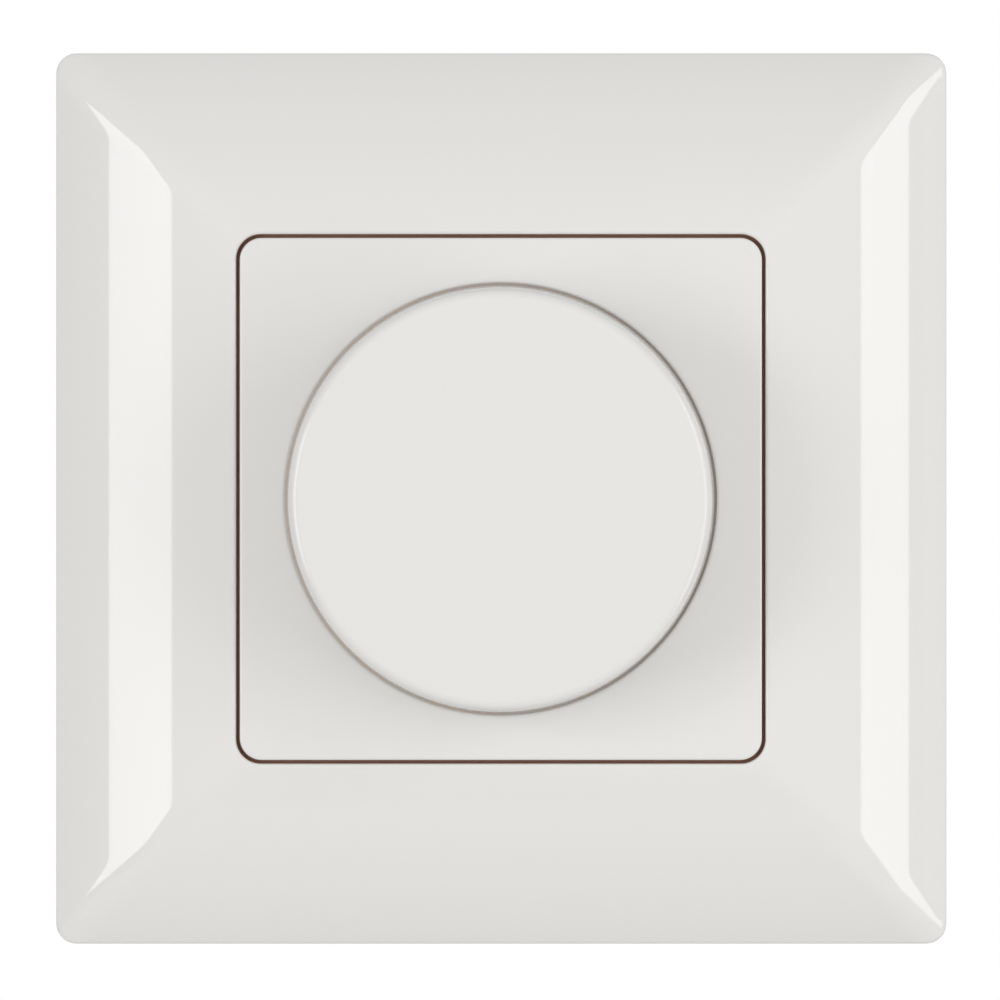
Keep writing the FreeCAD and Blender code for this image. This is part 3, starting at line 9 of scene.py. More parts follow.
# %% Load the frame
import json
import math
import bpy
import bmesh
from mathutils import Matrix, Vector


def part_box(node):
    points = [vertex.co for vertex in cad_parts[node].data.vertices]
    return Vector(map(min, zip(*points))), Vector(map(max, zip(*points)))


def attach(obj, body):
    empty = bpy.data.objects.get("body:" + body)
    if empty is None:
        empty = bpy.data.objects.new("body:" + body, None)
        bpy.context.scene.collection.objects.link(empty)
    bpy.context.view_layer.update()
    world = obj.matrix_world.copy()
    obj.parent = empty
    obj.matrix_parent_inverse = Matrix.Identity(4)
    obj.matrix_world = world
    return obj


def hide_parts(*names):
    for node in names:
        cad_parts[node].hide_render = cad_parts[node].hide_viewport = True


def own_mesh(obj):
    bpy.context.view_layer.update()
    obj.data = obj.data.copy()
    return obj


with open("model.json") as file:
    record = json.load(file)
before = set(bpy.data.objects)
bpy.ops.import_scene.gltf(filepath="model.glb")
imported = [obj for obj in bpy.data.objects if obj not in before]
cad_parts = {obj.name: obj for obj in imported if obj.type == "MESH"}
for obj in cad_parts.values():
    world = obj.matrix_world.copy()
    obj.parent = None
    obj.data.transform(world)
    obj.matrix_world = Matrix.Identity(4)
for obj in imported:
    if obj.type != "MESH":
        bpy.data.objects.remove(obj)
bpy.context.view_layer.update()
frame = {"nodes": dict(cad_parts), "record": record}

MM = 0.001
half_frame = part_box("cover_frame")[1][0] / MM
print("half width of the cover frame, mm:", round(half_frame, 3))

# %% [markdown]
# ## Finishes
# Gloss plastic is never quite flat: a moulding has a faint orange-peel bump,
# and tiny differences in gloss. Both come from noise in Object coordinates,
# so they stay with the piece when it moves. What is the same all over is set
# on the shader's own sockets.

# %% A helper for plastics and metals
REFRACTION = 1.48
NOISE_DETAIL = 3.0
RELIEF_DEPTH = 0.0002
CLOUDS_TO_GRAIN = 1 / 12
LEAST_MOTTLE, LEAST_ROUGHNESS = 0.004, 0.02


def finish(name, colour, roughness, metallic=0.0, grain=400.0, bump=0.02, vary=0.04, mottle=0.0):
    """A material with a fine relief, a slightly uneven gloss and a faint mottle."""
    material = bpy.data.materials.new(name)
    material.use_nodes = True
    nodes, links = material.node_tree.nodes, material.node_tree.links
    shader = nodes["Principled BSDF"]
    shader.inputs["Metallic"].default_value = metallic
    shader.inputs["IOR"].default_value = REFRACTION
    place = nodes.new("ShaderNodeTexCoord")
    noise = nodes.new("ShaderNodeTexNoise")
    noise.inputs["Scale"].default_value = grain
    noise.inputs["Detail"].default_value = NOISE_DETAIL
    links.new(place.outputs["Object"], noise.inputs["Vector"])
    gloss = nodes.new("ShaderNodeMapRange")
    gloss.inputs["To Min"].default_value = max(LEAST_ROUGHNESS, roughness - vary)
    gloss.inputs["To Max"].default_value = min(1.0, roughness + vary)
    links.new(noise.outputs["Fac"], gloss.inputs["Value"])
    links.new(gloss.outputs["Result"], shader.inputs["Roughness"])
    relief = nodes.new("ShaderNodeBump")
    relief.inputs["Strength"].default_value = bump
    relief.inputs["Distance"].default_value = RELIEF_DEPTH
    links.new(noise.outputs["Fac"], relief.inputs["Height"])
    links.new(relief.outputs["Normal"], shader.inputs["Normal"])
    cloud = nodes.new("ShaderNodeTexNoise")
    cloud.inputs["Scale"].default_value = grain * CLOUDS_TO_GRAIN
    links.new(place.outputs["Object"], cloud.inputs["Vector"])
    tint = nodes.new("ShaderNodeMix")
    tint.data_type = "RGBA"
    shade = 1.0 - max(mottle, LEAST_MOTTLE)
    tint.inputs["A"].default_value = (*colour, 1.0)
    tint.inputs["B"].default_value = (*[part * shade for part in colour], 1.0)
    links.new(cloud.outputs["Fac"], tint.inputs["Factor"])
    links.new(tint.outputs["Result"], shader.inputs["Base Color"])
    return material


# %% The white of the frame, the plate and the knob
WHITE = (0.83, 0.824, 0.81)
# A painted shade: the dark warm brown of the narrow gaps.
PAINTED_SHADE_COLOUR = (0.60, 0.34, 0.24)
white_plastic = finish("white_plastic", WHITE, 0.05, grain=500.0, bump=0.004, vary=0.01)
plate_plastic = finish("plate_plastic", WHITE, 0.28, grain=500.0, bump=0.0, vary=0.0)
knob_plastic = finish("knob_plastic", WHITE, 0.12, grain=500.0, bump=0.004, vary=0.02)

# The walls of the narrow gaps get a painted shade: a dark warm brown that stands
# in for the shade in the gaps and for the light that seeps through the plastic.
# The well gets a painted glow instead: an emission in a warm tone, stronger on
# the left, where the knob leaves the plate in the light.
PAINTED_GLOW_COLOUR = (1.0, 0.86, 0.76, 1.0)
PAINTED_GLOW_LEFT, PAINTED_GLOW_RIGHT = 0.17, 0.07
PAINTED_GLOW_REACH = 0.0207
gap_painted_shade = finish("gap_painted_shade", PAINTED_SHADE_COLOUR, 0.5, grain=900.0)
well_painted_glow = finish("well_painted_glow", WHITE, 0.4, grain=900.0, bump=0.012, vary=0.02)
# The well's material glows: a painted glow whose strength falls from left to right across the
# well.
painted_glow_shader = well_painted_glow.node_tree.nodes["Principled BSDF"]
painted_glow_shader.inputs["Emission Color"].default_value = PAINTED_GLOW_COLOUR
well_nodes, well_links = well_painted_glow.node_tree.nodes, well_painted_glow.node_tree.links
across = well_nodes.new("ShaderNodeSeparateXYZ")
well_place = well_nodes["Texture Coordinate"]
well_links.new(well_place.outputs["Object"], across.inputs["Vector"])
painted_glow_strength = well_nodes.new("ShaderNodeMapRange")
painted_glow_strength.inputs["From Min"].default_value = -PAINTED_GLOW_REACH
painted_glow_strength.inputs["From Max"].default_value = PAINTED_GLOW_REACH
painted_glow_strength.inputs["To Min"].default_value = PAINTED_GLOW_LEFT
painted_glow_strength.inputs["To Max"].default_value = PAINTED_GLOW_RIGHT
well_links.new(across.outputs["X"], painted_glow_strength.inputs["Value"])
well_links.new(painted_glow_strength.outputs["Result"], painted_glow_shader.inputs["Emission Strength"])

# %% [markdown]
# ## Loops of a rounded square
# The cover frame and the plate are both square rings. Each is one closed
# skin: a cross-section walked around the square, loop by loop, until the last
# loop meets the first. A loop is a rounded square, and every loop has the same
# number of points, so neighbours join in clean four-sided faces.

# %% A rounded square and a skin of loops
SIDE_STEPS = 72
CORNER_STEPS = 14
EVEN_SHARE = 0.35
SHARP = math.radians(28)


def crowded(share):
    """Spreads -1 to 1 so that the steps are closer near both ends."""
    return EVEN_SHARE * share + (1 - EVEN_SHARE) * math.sin(math.pi / 2 * share)


def rounded_square(half, radius):
    """Points around a square of a half side, with rounded corners."""
    points = []
    for quarter in range(4):
        turn = quarter * math.pi / 2
        c, s = math.cos(turn), math.sin(turn)
        flat = half - radius
        here = [(half, flat * crowded(2 * i / SIDE_STEPS - 1)) for i in range(SIDE_STEPS)]
        for i in range(CORNER_STEPS):
            a = math.pi / 2 * i / CORNER_STEPS
            here.append((flat + radius * math.cos(a), flat + radius * math.sin(a)))
        points += [(x * c - y * s, x * s + y * c) for x, y in here]
    return points


def circle_like(points, radius):
    """The same points pulled onto a circle along their rays."""
    out = []
    for x, y in points:
        reach = math.hypot(x, y)
        out.append((x / reach * radius, y / reach * radius))
    return out


def linked(name, mesh):
    """An object for a mesh, in the scene."""
    thing = bpy.data.objects.new(name, mesh)
    bpy.context.scene.collection.objects.link(thing)
    return thing


def smooth_piece(name, mesh, work):
    """Turns finished work into an object that is smooth but for its sharp edges."""
    bmesh.ops.recalc_face_normals(work, faces=work.faces)
    work.to_mesh(mesh)
    work.free()
    mesh.polygons.foreach_set("use_smooth", [True] * len(mesh.polygons))
    mesh.set_sharp_from_angle(angle=SHARP)
    print(name, len(mesh.polygons), "faces")
    return linked(name, mesh)


def skin(name, loops):
    """A closed mesh from loops of (x, y, height) in mm, height counted out of the wall."""
    mesh = bpy.data.meshes.new(name)
    work = bmesh.new()
    rows = [[work.verts.new((x * MM, -h * MM, y * MM)) for x, y, h in loop] for loop in loops]
    count = len(rows[0])
    for a, b in zip(rows, rows[1:] + rows[:1]):
        for i in range(count):
            j = (i + 1) % count
            work.faces.new((a[i], a[j], b[j], b[i]))
    return smooth_piece(name, mesh, work)


# %% [markdown]
# ## Cover frame
# Two bowed profiles cross at right angles, and each point of the slope takes
# the lower of the two. On the real moulding they meet in soft mitres, so the
# step from one to the other is eased over a narrow band along the diagonals,
# which widens toward the rim. The skin then rolls over the window's edge, goes
# down the window's wall to the ledge that carries the plate, and comes back
# through the hollow behind.

# %% The bowed profile and its soft mitre
SLOPE_RADIUS = 38.0
RIM_HEIGHT = 3.0
CREST_REACH, CREST_HEIGHT = 24.3, 10.01
MITRE, MITRE_GROWTH = 1.2, 0.11
step = (half_frame - CREST_REACH, CREST_HEIGHT - RIM_HEIGHT)
chord = math.hypot(*step)
tilt = math.atan2(step[1], step[0]) + math.asin(chord / 2 / SLOPE_RADIUS)
centre = (half_frame - SLOPE_RADIUS * math.sin(tilt), RIM_HEIGHT - SLOPE_RADIUS * math.cos(tilt))
print("slope at the rim, degrees:", round(math.degrees(tilt), 1))


def profile(reach, inward=0.0):
    """Height of one bowed profile, or of the hollow's roof that lies inward of it."""
    reach = max(abs(reach), CREST_REACH)
    return centre[1] + math.sqrt((SLOPE_RADIUS - inward) ** 2 - (reach - centre[0]) ** 2)


def slope(x, y, inward=0.0):
    """The lower of the two profiles, eased across the diagonal."""
    far, near = max(abs(x), abs(y)), min(abs(x), abs(y))
    ease = MITRE + MITRE_GROWTH * (far - CREST_REACH)
    overlap = max(ease - (far - near), 0.0)
    return profile(far + overlap * overlap / (4 * ease), inward)


# %% The frame's skin
WINDOW, WINDOW_CORNER, OUTER_CORNER = 25.35, 2.35, 1.95
RIM_EDGE, WINDOW_EDGE = 0.35, 0.35
PLATE_SEAT, LEDGE, LEDGE_THICKNESS = 7.8, 1.05, 1.2
SKIRT, WALL, WINDOW_WALL = 1.3, 2.2, 1.7
HOLLOW_CORNER, HOLLOW_EDGE = 1.0, 1.2
RIM_LEVELS = (0.0, 0.9, 1.8, 2.6)
WINDOW_LEVEL = 8.8
ROOF_SHARES = (0.0, 0.12, 0.25, 0.4, 0.55, 0.7, 0.85, 1.0)
ROLL_STEPS, WINDOW_STEPS, SLOPE_STEPS = 6, 8, 64
PAINTED_SHADE_TOP = 9.2
NEAR = 0.01


def corner_at(half):
    """Corner radius of the slope's loop at a half side."""
    share = (half - WINDOW) / (half_frame - WINDOW)
    return WINDOW_CORNER + (OUTER_CORNER - WINDOW_CORNER) * share


def level_loop(half, radius, height):
    """A rounded square at one height."""
    return [(x, y, height) for x, y in rounded_square(half, radius)]


def slope_loop(half, radius, drop=0.0, inward=0.0):
    """A rounded square that lies on the slope, or a drop below it."""
    return [(x, y, slope(x, y, inward) - drop) for x, y in rounded_square(half, radius)]


# Up the rim and over its edge.
frame_loops = [level_loop(half_frame, OUTER_CORNER, h) for h in RIM_LEVELS]
turn = math.pi / 2 - tilt
setback = RIM_EDGE * math.tan(turn / 2)
edge = slope_loop(half_frame, OUTER_CORNER)
for i in range(ROLL_STEPS + 1):
    angle = turn * i / ROLL_STEPS
    inset = RIM_EDGE * (1 - math.cos(angle))
    rise = RIM_EDGE * math.sin(angle) - setback
    around = rounded_square(half_frame - inset, OUTER_CORNER - inset)
    frame_loops.append([(x, y, h + rise) for (x, y), (_, _, h) in zip(around, edge)])

# Up the slope and over the window's edge.
start = half_frame - setback * math.cos(tilt)
for i in range(1, SLOPE_STEPS):
    half = start + (WINDOW + WINDOW_EDGE - start) * i / SLOPE_STEPS
    frame_loops.append(slope_loop(half, corner_at(half)))
for i in range(WINDOW_STEPS + 1):
    angle = math.pi / 2 * i / WINDOW_STEPS
    half = WINDOW + WINDOW_EDGE * (1 - math.sin(angle))
    drop = WINDOW_EDGE * (1 - math.cos(angle))
    frame_loops.append(slope_loop(half, WINDOW_CORNER + half - WINDOW, drop))

# Down the window's wall, around the ledge and back under the hollow's roof.
ledge_side, ledge_base = WINDOW - LEDGE, PLATE_SEAT - LEDGE_THICKNESS
for half, height in (
    (WINDOW, WINDOW_LEVEL), (WINDOW, PLATE_SEAT),
    (ledge_side, PLATE_SEAT), (ledge_side, ledge_base),
    (WINDOW, ledge_base), (WINDOW, SKIRT), (WINDOW + WINDOW_WALL, SKIRT),
):
    frame_loops.append(level_loop(half, WINDOW_CORNER + half - WINDOW, height))
for share in ROOF_SHARES:
    half = WINDOW + WINDOW_WALL + share * (half_frame - WALL - WINDOW - WINDOW_WALL)
    corner = WINDOW_CORNER + WINDOW_WALL * (1 - share)
    frame_loops.append(slope_loop(half, corner, 0.0, WALL))
for height in (HOLLOW_EDGE, 0.0):
    frame_loops.append(level_loop(half_frame - WALL, HOLLOW_CORNER, height))
cover_frame = skin("cover_frame_skin", frame_loops)
cover_frame.data.materials.append(white_plastic)
cover_frame.data.materials.append(gap_painted_shade)
# The window's wall and ledge, below the top of the gap, take the second material: a painted
# shade for the dark gap around the plate.
for face in cover_frame.data.polygons:
    middle = face.center
    reach = max(abs(middle.x), abs(middle.z)) / MM
    if reach < WINDOW + NEAR and -middle.y / MM < PAINTED_SHADE_TOP:
        face.material_index = 1
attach(cover_frame, "base")
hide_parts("cover_frame")

# %% [markdown]
# ## Ribs in the hollow frame
# A hollow moulding is stiffened by ribs that follow its roof. Those of one side
# are drawn as thin blocks, and a small Geometry Nodes tree repeats them around
# the axis that points out of the wall. The result is made a plain mesh.

# %% A tree that repeats a shape around the wall's normal
def around_tree(name, material):
    """A node tree that places a shape a number of times, a step of turning apart."""
    tree = bpy.data.node_groups.new(name, "GeometryNodeTree")
    face = tree.interface
    face.new_socket("Geometry", in_out="INPUT", socket_type="NodeSocketGeometry")
    face.new_socket("Count", in_out="INPUT", socket_type="NodeSocketInt").default_value = 4
    face.new_socket("Step", in_out="INPUT", socket_type="NodeSocketFloat").default_value = 1.0
    face.new_socket("Geometry", in_out="OUTPUT", socket_type="NodeSocketGeometry")
    nodes, links = tree.nodes, tree.links
    start, end = nodes.new("NodeGroupInput"), nodes.new("NodeGroupOutput")
    points = nodes.new("GeometryNodePoints")
    links.new(start.outputs["Count"], points.inputs["Count"])
    index = nodes.new("GeometryNodeInputIndex")
    turn = nodes.new("ShaderNodeMath")
    turn.operation = "MULTIPLY"
    links.new(index.outputs["Index"], turn.inputs[0])
    links.new(start.outputs["Step"], turn.inputs[1])
    aim = nodes.new("ShaderNodeCombineXYZ")
    links.new(turn.outputs["Value"], aim.inputs["Y"])
    place = nodes.new("GeometryNodeInstanceOnPoints")
    links.new(points.outputs["Points"], place.inputs["Points"])
    links.new(start.outputs["Geometry"], place.inputs["Instance"])
    links.new(aim.outputs["Vector"], place.inputs["Rotation"])
    real = nodes.new("GeometryNodeRealizeInstances")
    links.new(place.outputs["Instances"], real.inputs["Geometry"])
    paint = nodes.new("GeometryNodeSetMaterial")
    paint.inputs["Material"].default_value = material
    links.new(real.outputs["Geometry"], paint.inputs["Geometry"])
    links.new(paint.outputs["Geometry"], end.inputs["Geometry"])
    return tree


def repeated(thing, tree, count):
    """Runs the tree on a piece and leaves the result as a plain mesh."""
    modifier = thing.modifiers.new("repeat", "NODES")
    modifier.node_group = tree
    wanted = {"Count": count, "Step": 2 * math.pi / count}
    for socket in tree.interface.items_tree:
        if socket.in_out == "INPUT" and socket.name in wanted:
            modifier[socket.identifier] = wanted[socket.name]
    bpy.context.view_layer.update()
    done = thing.evaluated_get(bpy.context.evaluated_depsgraph_get())
    plain = bpy.data.meshes.new_from_object(done)
    thing.modifiers.remove(modifier)
    thing.data = plain
    print(thing.name, count, "times,", len(plain.polygons), "faces")
    return thing


def slab(name, outlines, near, far):
    """Flat shapes in (reach, height), each given its thickness across."""
    mesh = bpy.data.meshes.new(name)
    work = bmesh.new()
    for across, outline in outlines:
        sides = []
        for edge in (near, far):
            corners = [(x * MM, -h * MM, (across + edge) * MM) for x, h in outline]
            sides.append([work.verts.new(corner) for corner in corners])
        count = len(outline)
        work.faces.new(sides[0])
        work.faces.new(sides[1])
        for i in range(count):
            j = (i + 1) % count
            work.faces.new((sides[0][i], sides[0][j], sides[1][j], sides[1][i]))
    bmesh.ops.recalc_face_normals(work, faces=work.faces)
    work.to_mesh(mesh)
    work.free()
    return linked(name, mesh)


# %% The frame's eight ribs
RIB, RIB_PLACE, RIB_BASE, RIB_SHORT = 1.2, 14.0, 1.6, 2.0
RIB_STEPS = 8
SUNK = 0.2
rib_start = WINDOW + WINDOW_WALL - SUNK
rib_end = half_frame - WALL - RIB_SHORT
rib_outline = [(rib_end, RIB_BASE), (rib_start, RIB_BASE)]
for i in range(RIB_STEPS + 1):
    x = rib_start + (rib_end - rib_start) * i / RIB_STEPS
    rib_outline.append((x, min(profile(x, WALL) + SUNK, CREST_HEIGHT - SUNK)))
two_ribs = [(RIB_PLACE, rib_outline), (-RIB_PLACE, rib_outline)]
frame_ribs = slab("frame_ribs", two_ribs, -RIB / 2, RIB / 2)
frame_ribs = repeated(frame_ribs, around_tree("ribs around the frame", white_plastic), 4)
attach(frame_ribs, "base")

# %% [markdown]
# ## Central plate
# The plate's skin starts at its square rim, rolls onto the flat face, and
# changes from square to round on the way in. Then it rolls into the round
# well, crosses its floor to the hole for the bush, and comes back beneath.

# %% The plate's skin
PLATE, PLATE_CORNER, PLATE_EDGE, PLATE_FACE = 25.0, 2.1, 0.25, 10.2
WELL, WELL_EDGE, WELL_FLOOR, WELL_WALL = 20.7, 0.3, 7.2, 1.8
BORE, PLATE_UNDERSIDE = 5.2, 5.6
PLATE_LEVELS = (PLATE_SEAT, 8.6, 9.4)
FACE_SHARES = (0.06, 0.2, 0.4, 0.6, 0.8, 0.94)
WELL_LEVELS = (8.9, 7.6)
MID_RING, PAINTED_GLOW_TOP = 14.0, 9.6
FLOOR_MARGIN, PAINTED_GLOW_MARGIN = 1.0, 0.1


def between(loop_a, loop_b, share, height):
    """A level loop part of the way from one loop to another."""
    return [
        (xa + (xb - xa) * share, ya + (yb - ya) * share, height)
        for (xa, ya), (xb, yb) in zip(loop_a, loop_b)
    ]


def ring(radius, height):
    """A level circle with the plate's number of points."""
    around = circle_like(rounded_square(PLATE, PLATE_CORNER), radius)
    return [(x, y, height) for x, y in around]


plate_loops = [level_loop(PLATE, PLATE_CORNER, h) for h in PLATE_LEVELS]
for i in range(ROLL_STEPS + 1):
    angle = math.pi / 2 * i / ROLL_STEPS
    inset = PLATE_EDGE * (1 - math.cos(angle))
    height = PLATE_FACE - PLATE_EDGE * (1 - math.sin(angle))
    plate_loops.append(level_loop(PLATE - inset, PLATE_CORNER - inset, height))
square = rounded_square(PLATE - PLATE_EDGE, PLATE_CORNER - PLATE_EDGE)
round_edge = circle_like(square, WELL + WELL_EDGE)
for share in FACE_SHARES:
    plate_loops.append(between(square, round_edge, share, PLATE_FACE))
for i in range(ROLL_STEPS + 1):
    angle = math.pi / 2 * i / ROLL_STEPS
    inset = WELL_EDGE * (1 - math.sin(angle))
    plate_loops.append(ring(WELL + inset, PLATE_FACE - WELL_EDGE * (1 - math.cos(angle))))
plate_loops += [ring(WELL, height) for height in WELL_LEVELS]
outside = WELL + WELL_WALL
for radius, height in (
    (WELL, WELL_FLOOR), (WELL - FLOOR_MARGIN, WELL_FLOOR), (MID_RING, WELL_FLOOR),
    (BORE, WELL_FLOOR), (BORE, PLATE_UNDERSIDE), (MID_RING, PLATE_UNDERSIDE),
    (outside, PLATE_UNDERSIDE), (outside, PLATE_SEAT),
):
    plate_loops.append(ring(radius, height))
plate = skin("central_plate_skin", plate_loops)
plate.data.materials.append(plate_plastic)
plate.data.materials.append(well_painted_glow)
# The well's wall and floor take the second material, whose emission is a painted glow for the
# light that seeps into the well.
for face in plate.data.polygons:
    middle = face.center
    reach, height = math.hypot(middle.x, middle.z) / MM, -middle.y / MM
    inside = BORE + FLOOR_MARGIN < reach < WELL + NEAR
    if inside and PLATE_UNDERSIDE + PAINTED_GLOW_MARGIN < height < PAINTED_GLOW_TOP:
        face.material_index = 1
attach(plate, "base")
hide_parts("central_plate")

# %% [markdown]
# ## Knob
# The knob is one turned profile: a flat face, a roll at its edge, a wall that
# flares a little to its foot, and inside it the hub that clamps the shaft. Six
# ribs join the hub to the wall.

# %% A turned profile as a closed skin
AROUND = 192
KNOB_BASE, KNOB_FACE, KNOB_RADIUS, KNOB_FOOT, KNOB_EDGE = 9.2, 21.6, 20.0, 20.5, 1.0
KNOB_WALL, KNOB_DRAFT = 1.8, 0.5
KNOB_ROLL_STEPS = 16
FACE_RINGS = (5.0, 10.0, 15.0, 17.5)
WALL_SHARES = (0.25, 0.5, 0.75, 0.97)
INSIDE_FLARE, INSIDE_DEPTH = 0.2, 2.0
INSIDE_ROUND, ROUND_MIDDLE = 0.5, 0.15
RIB_LEAN = 0.1
HUB, HUB_BASE, HUB_MIDDLE, HUB_BORE_TOP, SHAFT = 4.6, 12.9, 15.0, 19.2, 3.03


def lathe(name, profile_points):
    """A turned skin in mm. The first and the last point lie on the axis."""
    mesh = bpy.data.meshes.new(name)
    work = bmesh.new()
    rows = []
    for radius, height in profile_points[1:-1]:
        rows.append([
            work.verts.new((
                radius * math.cos(2 * math.pi * i / AROUND) * MM,
                -height * MM,
                radius * math.sin(2 * math.pi * i / AROUND) * MM,
            ))
            for i in range(AROUND)
        ])
    for a, b in zip(rows, rows[1:]):
        for i in range(AROUND):
            j = (i + 1) % AROUND
            work.faces.new((a[i], a[j], b[j], b[i]))
    for (_, height), row in ((profile_points[0], rows[0]), (profile_points[-1], rows[-1])):
        pole = work.verts.new((0.0, -height * MM, 0.0))
        for i in range(AROUND):
            work.faces.new((pole, row[(i + 1) % AROUND], row[i]))
    return smooth_piece(name, mesh, work)


lean = math.atan2(KNOB_FOOT - KNOB_RADIUS, KNOB_FACE - KNOB_BASE)
knob_points = [(0.0, KNOB_FACE)] + [(radius, KNOB_FACE) for radius in FACE_RINGS]
for i in range(KNOB_ROLL_STEPS + 1):
    angle = (math.pi / 2 - lean) * i / KNOB_ROLL_STEPS
    knob_points.append((
        KNOB_RADIUS - KNOB_EDGE * (1 - math.sin(angle)),
        KNOB_FACE - KNOB_EDGE * (1 - math.cos(angle)),
    ))
wall_top = knob_points[-1]
for share in WALL_SHARES:
    knob_points.append((
        wall_top[0] + (KNOB_FOOT - wall_top[0]) * share,
        wall_top[1] + (KNOB_BASE - wall_top[1]) * share,
    ))
roof = KNOB_FACE - KNOB_WALL
inner = KNOB_RADIUS - KNOB_WALL - KNOB_DRAFT
knob_points += [
    (KNOB_FOOT, KNOB_BASE), (KNOB_FOOT - KNOB_WALL, KNOB_BASE),
    # The wall's inside, with a small round where it meets the roof.
    (inner + INSIDE_FLARE, roof - INSIDE_DEPTH), (inner, roof - INSIDE_ROUND),
    (inner - ROUND_MIDDLE, roof - ROUND_MIDDLE), (inner - INSIDE_ROUND, roof),
    (HUB, roof), (HUB, HUB_MIDDLE), (HUB, HUB_BASE),
    (SHAFT, HUB_BASE), (SHAFT, HUB_BORE_TOP), (0.0, HUB_BORE_TOP),
]
knob = lathe("knob_skin", knob_points)
knob.data.materials.append(knob_plastic)
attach(knob, "knob")
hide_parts("knob")

# %% The knob's ribs
KNOB_RIB, KNOB_RIB_BASE = 1.2, 16.2
knob_rib = [
    (HUB - SUNK, KNOB_RIB_BASE), (inner + SUNK, KNOB_RIB_BASE),
    (inner + RIB_LEAN, roof + SUNK), (HUB - SUNK, roof + SUNK),
]
knob_ribs = slab("knob_ribs", [(0.0, knob_rib)], -KNOB_RIB / 2, KNOB_RIB / 2)
knob_ribs = repeated(knob_ribs, around_tree("ribs around the hub", knob_plastic), 6)
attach(knob_ribs, "knob")

# %% [markdown]
# ## Finishes of the pieces behind
# Every other CAD piece keeps its shape and gets a procedural material. The
# finish is the one that its slot in the record names.

# %% One material for each slot of the record
FINISHES = {
    # slot: colour, roughness, metallic, grain, bump
    "ring_steel": ((0.60, 0.52, 0.33), 0.34, 1.0, 160.0, 0.05),
    "housing_plastic": ((0.58, 0.57, 0.53), 0.46, 0.0, 700.0, 0.10),
    "grey_plastic": ((0.22, 0.22, 0.22), 0.45, 0.0, 700.0, 0.08),
    "black_plastic": ((0.015, 0.015, 0.017), 0.42, 0.0, 700.0, 0.08),
    "red_plastic": ((0.32, 0.015, 0.01), 0.40, 0.0, 700.0, 0.08),
    "phenolic": ((0.10, 0.035, 0.014), 0.5, 0.0, 500.0, 0.10),
    "board": ((0.02, 0.08, 0.025), 0.30, 0.0, 900.0, 0.06),
    "film_box": ((0.48, 0.32, 0.015), 0.42, 0.0, 700.0, 0.08),
    "can_sleeve": ((0.008, 0.012, 0.035), 0.30, 0.0, 400.0, 0.05),
    "varistor_lacquer": ((0.012, 0.04, 0.2), 0.28, 0.0, 300.0, 0.12),
    "resistor_lacquer": ((0.48, 0.34, 0.17), 0.36, 0.0, 500.0, 0.10),
    "ferrite": ((0.50, 0.42, 0.06), 0.5, 0.0, 600.0, 0.15),
    "copper_wire": ((0.55, 0.20, 0.06), 0.25, 1.0, 500.0, 0.05),
    "bronze": ((0.56, 0.30, 0.12), 0.28, 1.0, 500.0, 0.05),
    "brass": ((0.60, 0.42, 0.14), 0.24, 1.0, 500.0, 0.05),
    "shaft_steel": ((0.55, 0.55, 0.54), 0.26, 1.0, 900.0, 0.08),
    "spring_steel": ((0.40, 0.40, 0.40), 0.30, 1.0, 900.0, 0.06),
    "screw_steel": ((0.52, 0.52, 0.50), 0.30, 1.0, 700.0, 0.08),
    "rivet_aluminium": ((0.66, 0.66, 0.67), 0.36, 1.0, 500.0, 0.06),
}
MOTTLE = 0.12
made = {"white_plastic": white_plastic}
for slot, (colour, roughness, metallic, grain, bump) in FINISHES.items():
    made[slot] = finish(slot, colour, roughness, metallic, grain, bump, mottle=MOTTLE)

dressed = 0
for row in frame["record"]["subparts"]:
    node = frame["nodes"][row["node"]]
    if not node.material_slots:
        node.data.materials.append(None)
    for place in node.material_slots:
        place.material = made[row["material_slot"]]
    dressed += 1
print(dressed, "CAD pieces have a finish")

# %% [markdown]
# ## Return spring
# The spring is squeezed when the knob is pushed. A copy of its mesh, with its
# doubled points merged, takes its place.

# %% A copy of the spring
PUSH, SAME_PLACE = 0.0015, 1e-7
mesh = frame["nodes"]["switch_spring"].data.copy()
work = bmesh.new()
work.from_mesh(mesh)
bmesh.ops.remove_doubles(work, verts=work.verts, dist=SAME_PLACE)
work.to_mesh(mesh)
work.free()
spring = linked("return_spring", mesh)
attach(spring, "base")
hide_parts("switch_spring")
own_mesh(spring)

# %% [markdown]
# ## Studio
# The photograph shows a switch on pure white. Two tall soft lights, one on
# each side, draw the bright bands along the frame's left and right slopes, and
# a weak one far to the right lifts the right rim. The rest comes from a world
# that is brightest in front and level with the switch, and from a pale floor
# far below. The camera alone sees the world as white and the floor as nearly
# so, which keeps the background from washing the switch out.

# %% Floor
PURE_WHITE = (1.0, 1.0, 1.0, 1.0)
FLOOR, FLOOR_REACH, FLOOR_LIFT = -0.40, 0.7, 0.42
FLOOR_COLOUR = (0.8, 0.79, 0.77, 1.0)
floor_pale = bpy.data.materials.new("floor_pale")
floor_pale.use_nodes = True
floor_nodes, floor_links = floor_pale.node_tree.nodes, floor_pale.node_tree.links
floor_shader = floor_nodes["Principled BSDF"]
floor_shader.inputs["Base Color"].default_value = FLOOR_COLOUR
floor_shader.inputs["Roughness"].default_value = 1.0
floor_shader.inputs["Emission Color"].default_value = PURE_WHITE
floor_path = floor_nodes.new("ShaderNodeLightPath")
floor_glow = floor_nodes.new("ShaderNodeMath")
floor_glow.operation = "MULTIPLY"
floor_glow.inputs[1].default_value = FLOOR_LIFT
floor_links.new(floor_path.outputs["Is Camera Ray"], floor_glow.inputs[0])
floor_links.new(floor_glow.outputs["Value"], floor_shader.inputs["Emission Strength"])

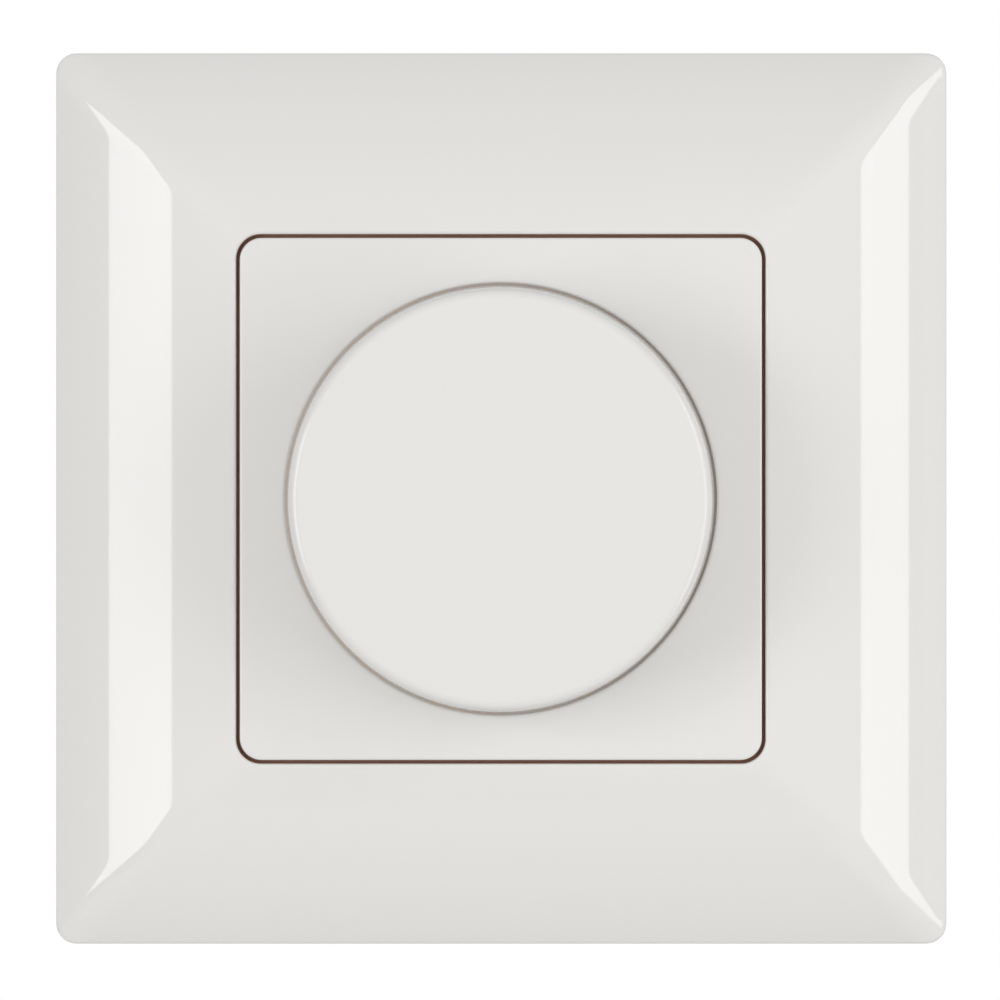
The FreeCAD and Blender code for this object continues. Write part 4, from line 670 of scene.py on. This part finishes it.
corners = [
    (x * FLOOR_REACH, y * FLOOR_REACH, FLOOR) for x, y in ((-1, -1), (1, -1), (1, 1), (-1, 1))
]
floor_mesh = bpy.data.meshes.new("floor")
floor_mesh.from_pydata(corners, [], [(0, 1, 2, 3)])
floor_mesh.materials.append(floor_pale)
floor = linked("floor", floor_mesh)

# %% Lights
LIGHT_DISTANCE = 1.0
LIGHTS = (
    # name, angle in degrees, width, height, radiance
    ("left_soft", -46.9, 0.355, 0.55, 3.95),
    ("right_soft", 53.6, 0.275, 1.0, 3.45),
    ("right_fill", 80.0, 0.5, 0.9, 0.35),
)


def soft_light(name, angle, width, height, radiance):
    """A panel level with the switch, seen from it at an angle to the right of straight ahead."""
    data = bpy.data.lights.new(name, "AREA")
    data.shape = "RECTANGLE"
    data.size, data.size_y = width, height
    data.energy = radiance * math.pi * width * height
    lamp = bpy.data.objects.new(name, data)
    a = math.radians(angle)
    toward = Vector((math.sin(a), -math.cos(a), 0.0))
    lamp.location = toward * LIGHT_DISTANCE
    lamp.rotation_euler = toward.to_track_quat("Z", "Y").to_euler()
    bpy.context.scene.collection.objects.link(lamp)


for light in LIGHTS:
    soft_light(*light)

# %% A world that is brightest in front and level with the switch
BAND, REST, LIFT, SLANT = 1.02, 0.185, 0.12, 0.26
AROUND_SHARE, AHEAD_SHARE = 0.35, 0.65
SKY_COLOUR = (1.0, 0.995, 0.985, 1.0)
world = bpy.data.worlds.new("studio")
world.use_nodes = True
sky_nodes, sky_links = world.node_tree.nodes, world.node_tree.links


def sky_math(operation, first, second):
    """One step of the world's brightness; a number or a socket on either side."""
    node = sky_nodes.new("ShaderNodeMath")
    node.operation = operation
    for socket, value in zip(node.inputs, (first, second)):
        if isinstance(value, float):
            socket.default_value = value
        else:
            sky_links.new(value, socket)
    return node.outputs["Value"]


direction = sky_nodes.new("ShaderNodeTexCoord")
parts = sky_nodes.new("ShaderNodeSeparateXYZ")
sky_links.new(direction.outputs["Generated"], parts.inputs["Vector"])
lifted = sky_math("SUBTRACT", parts.outputs["Z"], LIFT)
away = sky_math("MAXIMUM", lifted, sky_math("MULTIPLY", lifted, -1.0))
level = sky_math("SUBTRACT", 1.0, away)
band = sky_math("POWER", level, 2.0)
ahead = sky_math("MAXIMUM", sky_math("MULTIPLY", parts.outputs["Y"], -AHEAD_SHARE), 0.0)
band = sky_math("MULTIPLY", band, sky_math("ADD", ahead, AROUND_SHARE))
rest = sky_math("ADD", sky_math("MULTIPLY", parts.outputs["Z"], SLANT), REST)
strength = sky_math("ADD", sky_math("MULTIPLY", band, BAND), rest)
strength = sky_math("MAXIMUM", strength, 0.0)
sky = sky_nodes["Background"]
sky.inputs["Color"].default_value = SKY_COLOUR
sky_links.new(strength, sky.inputs["Strength"])
white = sky_nodes.new("ShaderNodeBackground")
white.inputs["Color"].default_value = PURE_WHITE
path = sky_nodes.new("ShaderNodeLightPath")
mix = sky_nodes.new("ShaderNodeMixShader")
sky_links.new(path.outputs["Is Camera Ray"], mix.inputs["Fac"])
sky_links.new(sky.outputs["Background"], mix.inputs[1])
sky_links.new(white.outputs["Background"], mix.inputs[2])
sky_links.new(mix.outputs["Shader"], sky_nodes["World Output"].inputs["Surface"])
bpy.context.scene.world = world
bpy.context.scene.view_settings.view_transform = "Standard"

# %% [markdown]
# ## Camera
# A long lens, square to the wall and a few millimetres to the right of and
# above the middle. Its shift puts the frame's middle where the photograph has
# it, and its distance gives the photograph's scale at the rim of the frame.

# %% The camera
FOCAL_PIXELS, IMAGE_PIXELS, SENSOR = 8257.0, 1000.0, 36.0
PIXELS_PER_MM = 10.352
FRAME_CENTRE_PIXEL = (501.3, 498.5)
CAMERA_RIGHT, CAMERA_ABOVE = 0.0056, 0.005
camera_data = bpy.data.cameras.new("camera")
camera_data.sensor_width = SENSOR
camera_data.lens = SENSOR * FOCAL_PIXELS / IMAGE_PIXELS
camera = bpy.data.objects.new("camera", camera_data)
far = FOCAL_PIXELS / PIXELS_PER_MM * MM
camera.location = (CAMERA_RIGHT, -far - RIM_HEIGHT * MM, CAMERA_ABOVE)
camera.rotation_euler = (math.pi / 2, 0.0, 0.0)
aside = camera.location.x * FOCAL_PIXELS / far
above = camera.location.z * FOCAL_PIXELS / far
camera_data.shift_x = (IMAGE_PIXELS / 2 - FRAME_CENTRE_PIXEL[0] - aside) / IMAGE_PIXELS
camera_data.shift_y = (FRAME_CENTRE_PIXEL[1] - IMAGE_PIXELS / 2 - above) / IMAGE_PIXELS
bpy.context.scene.collection.objects.link(camera)
bpy.context.scene.camera = camera
print("lens, mm:", round(camera_data.lens, 1), "distance, m:", round(far, 3))
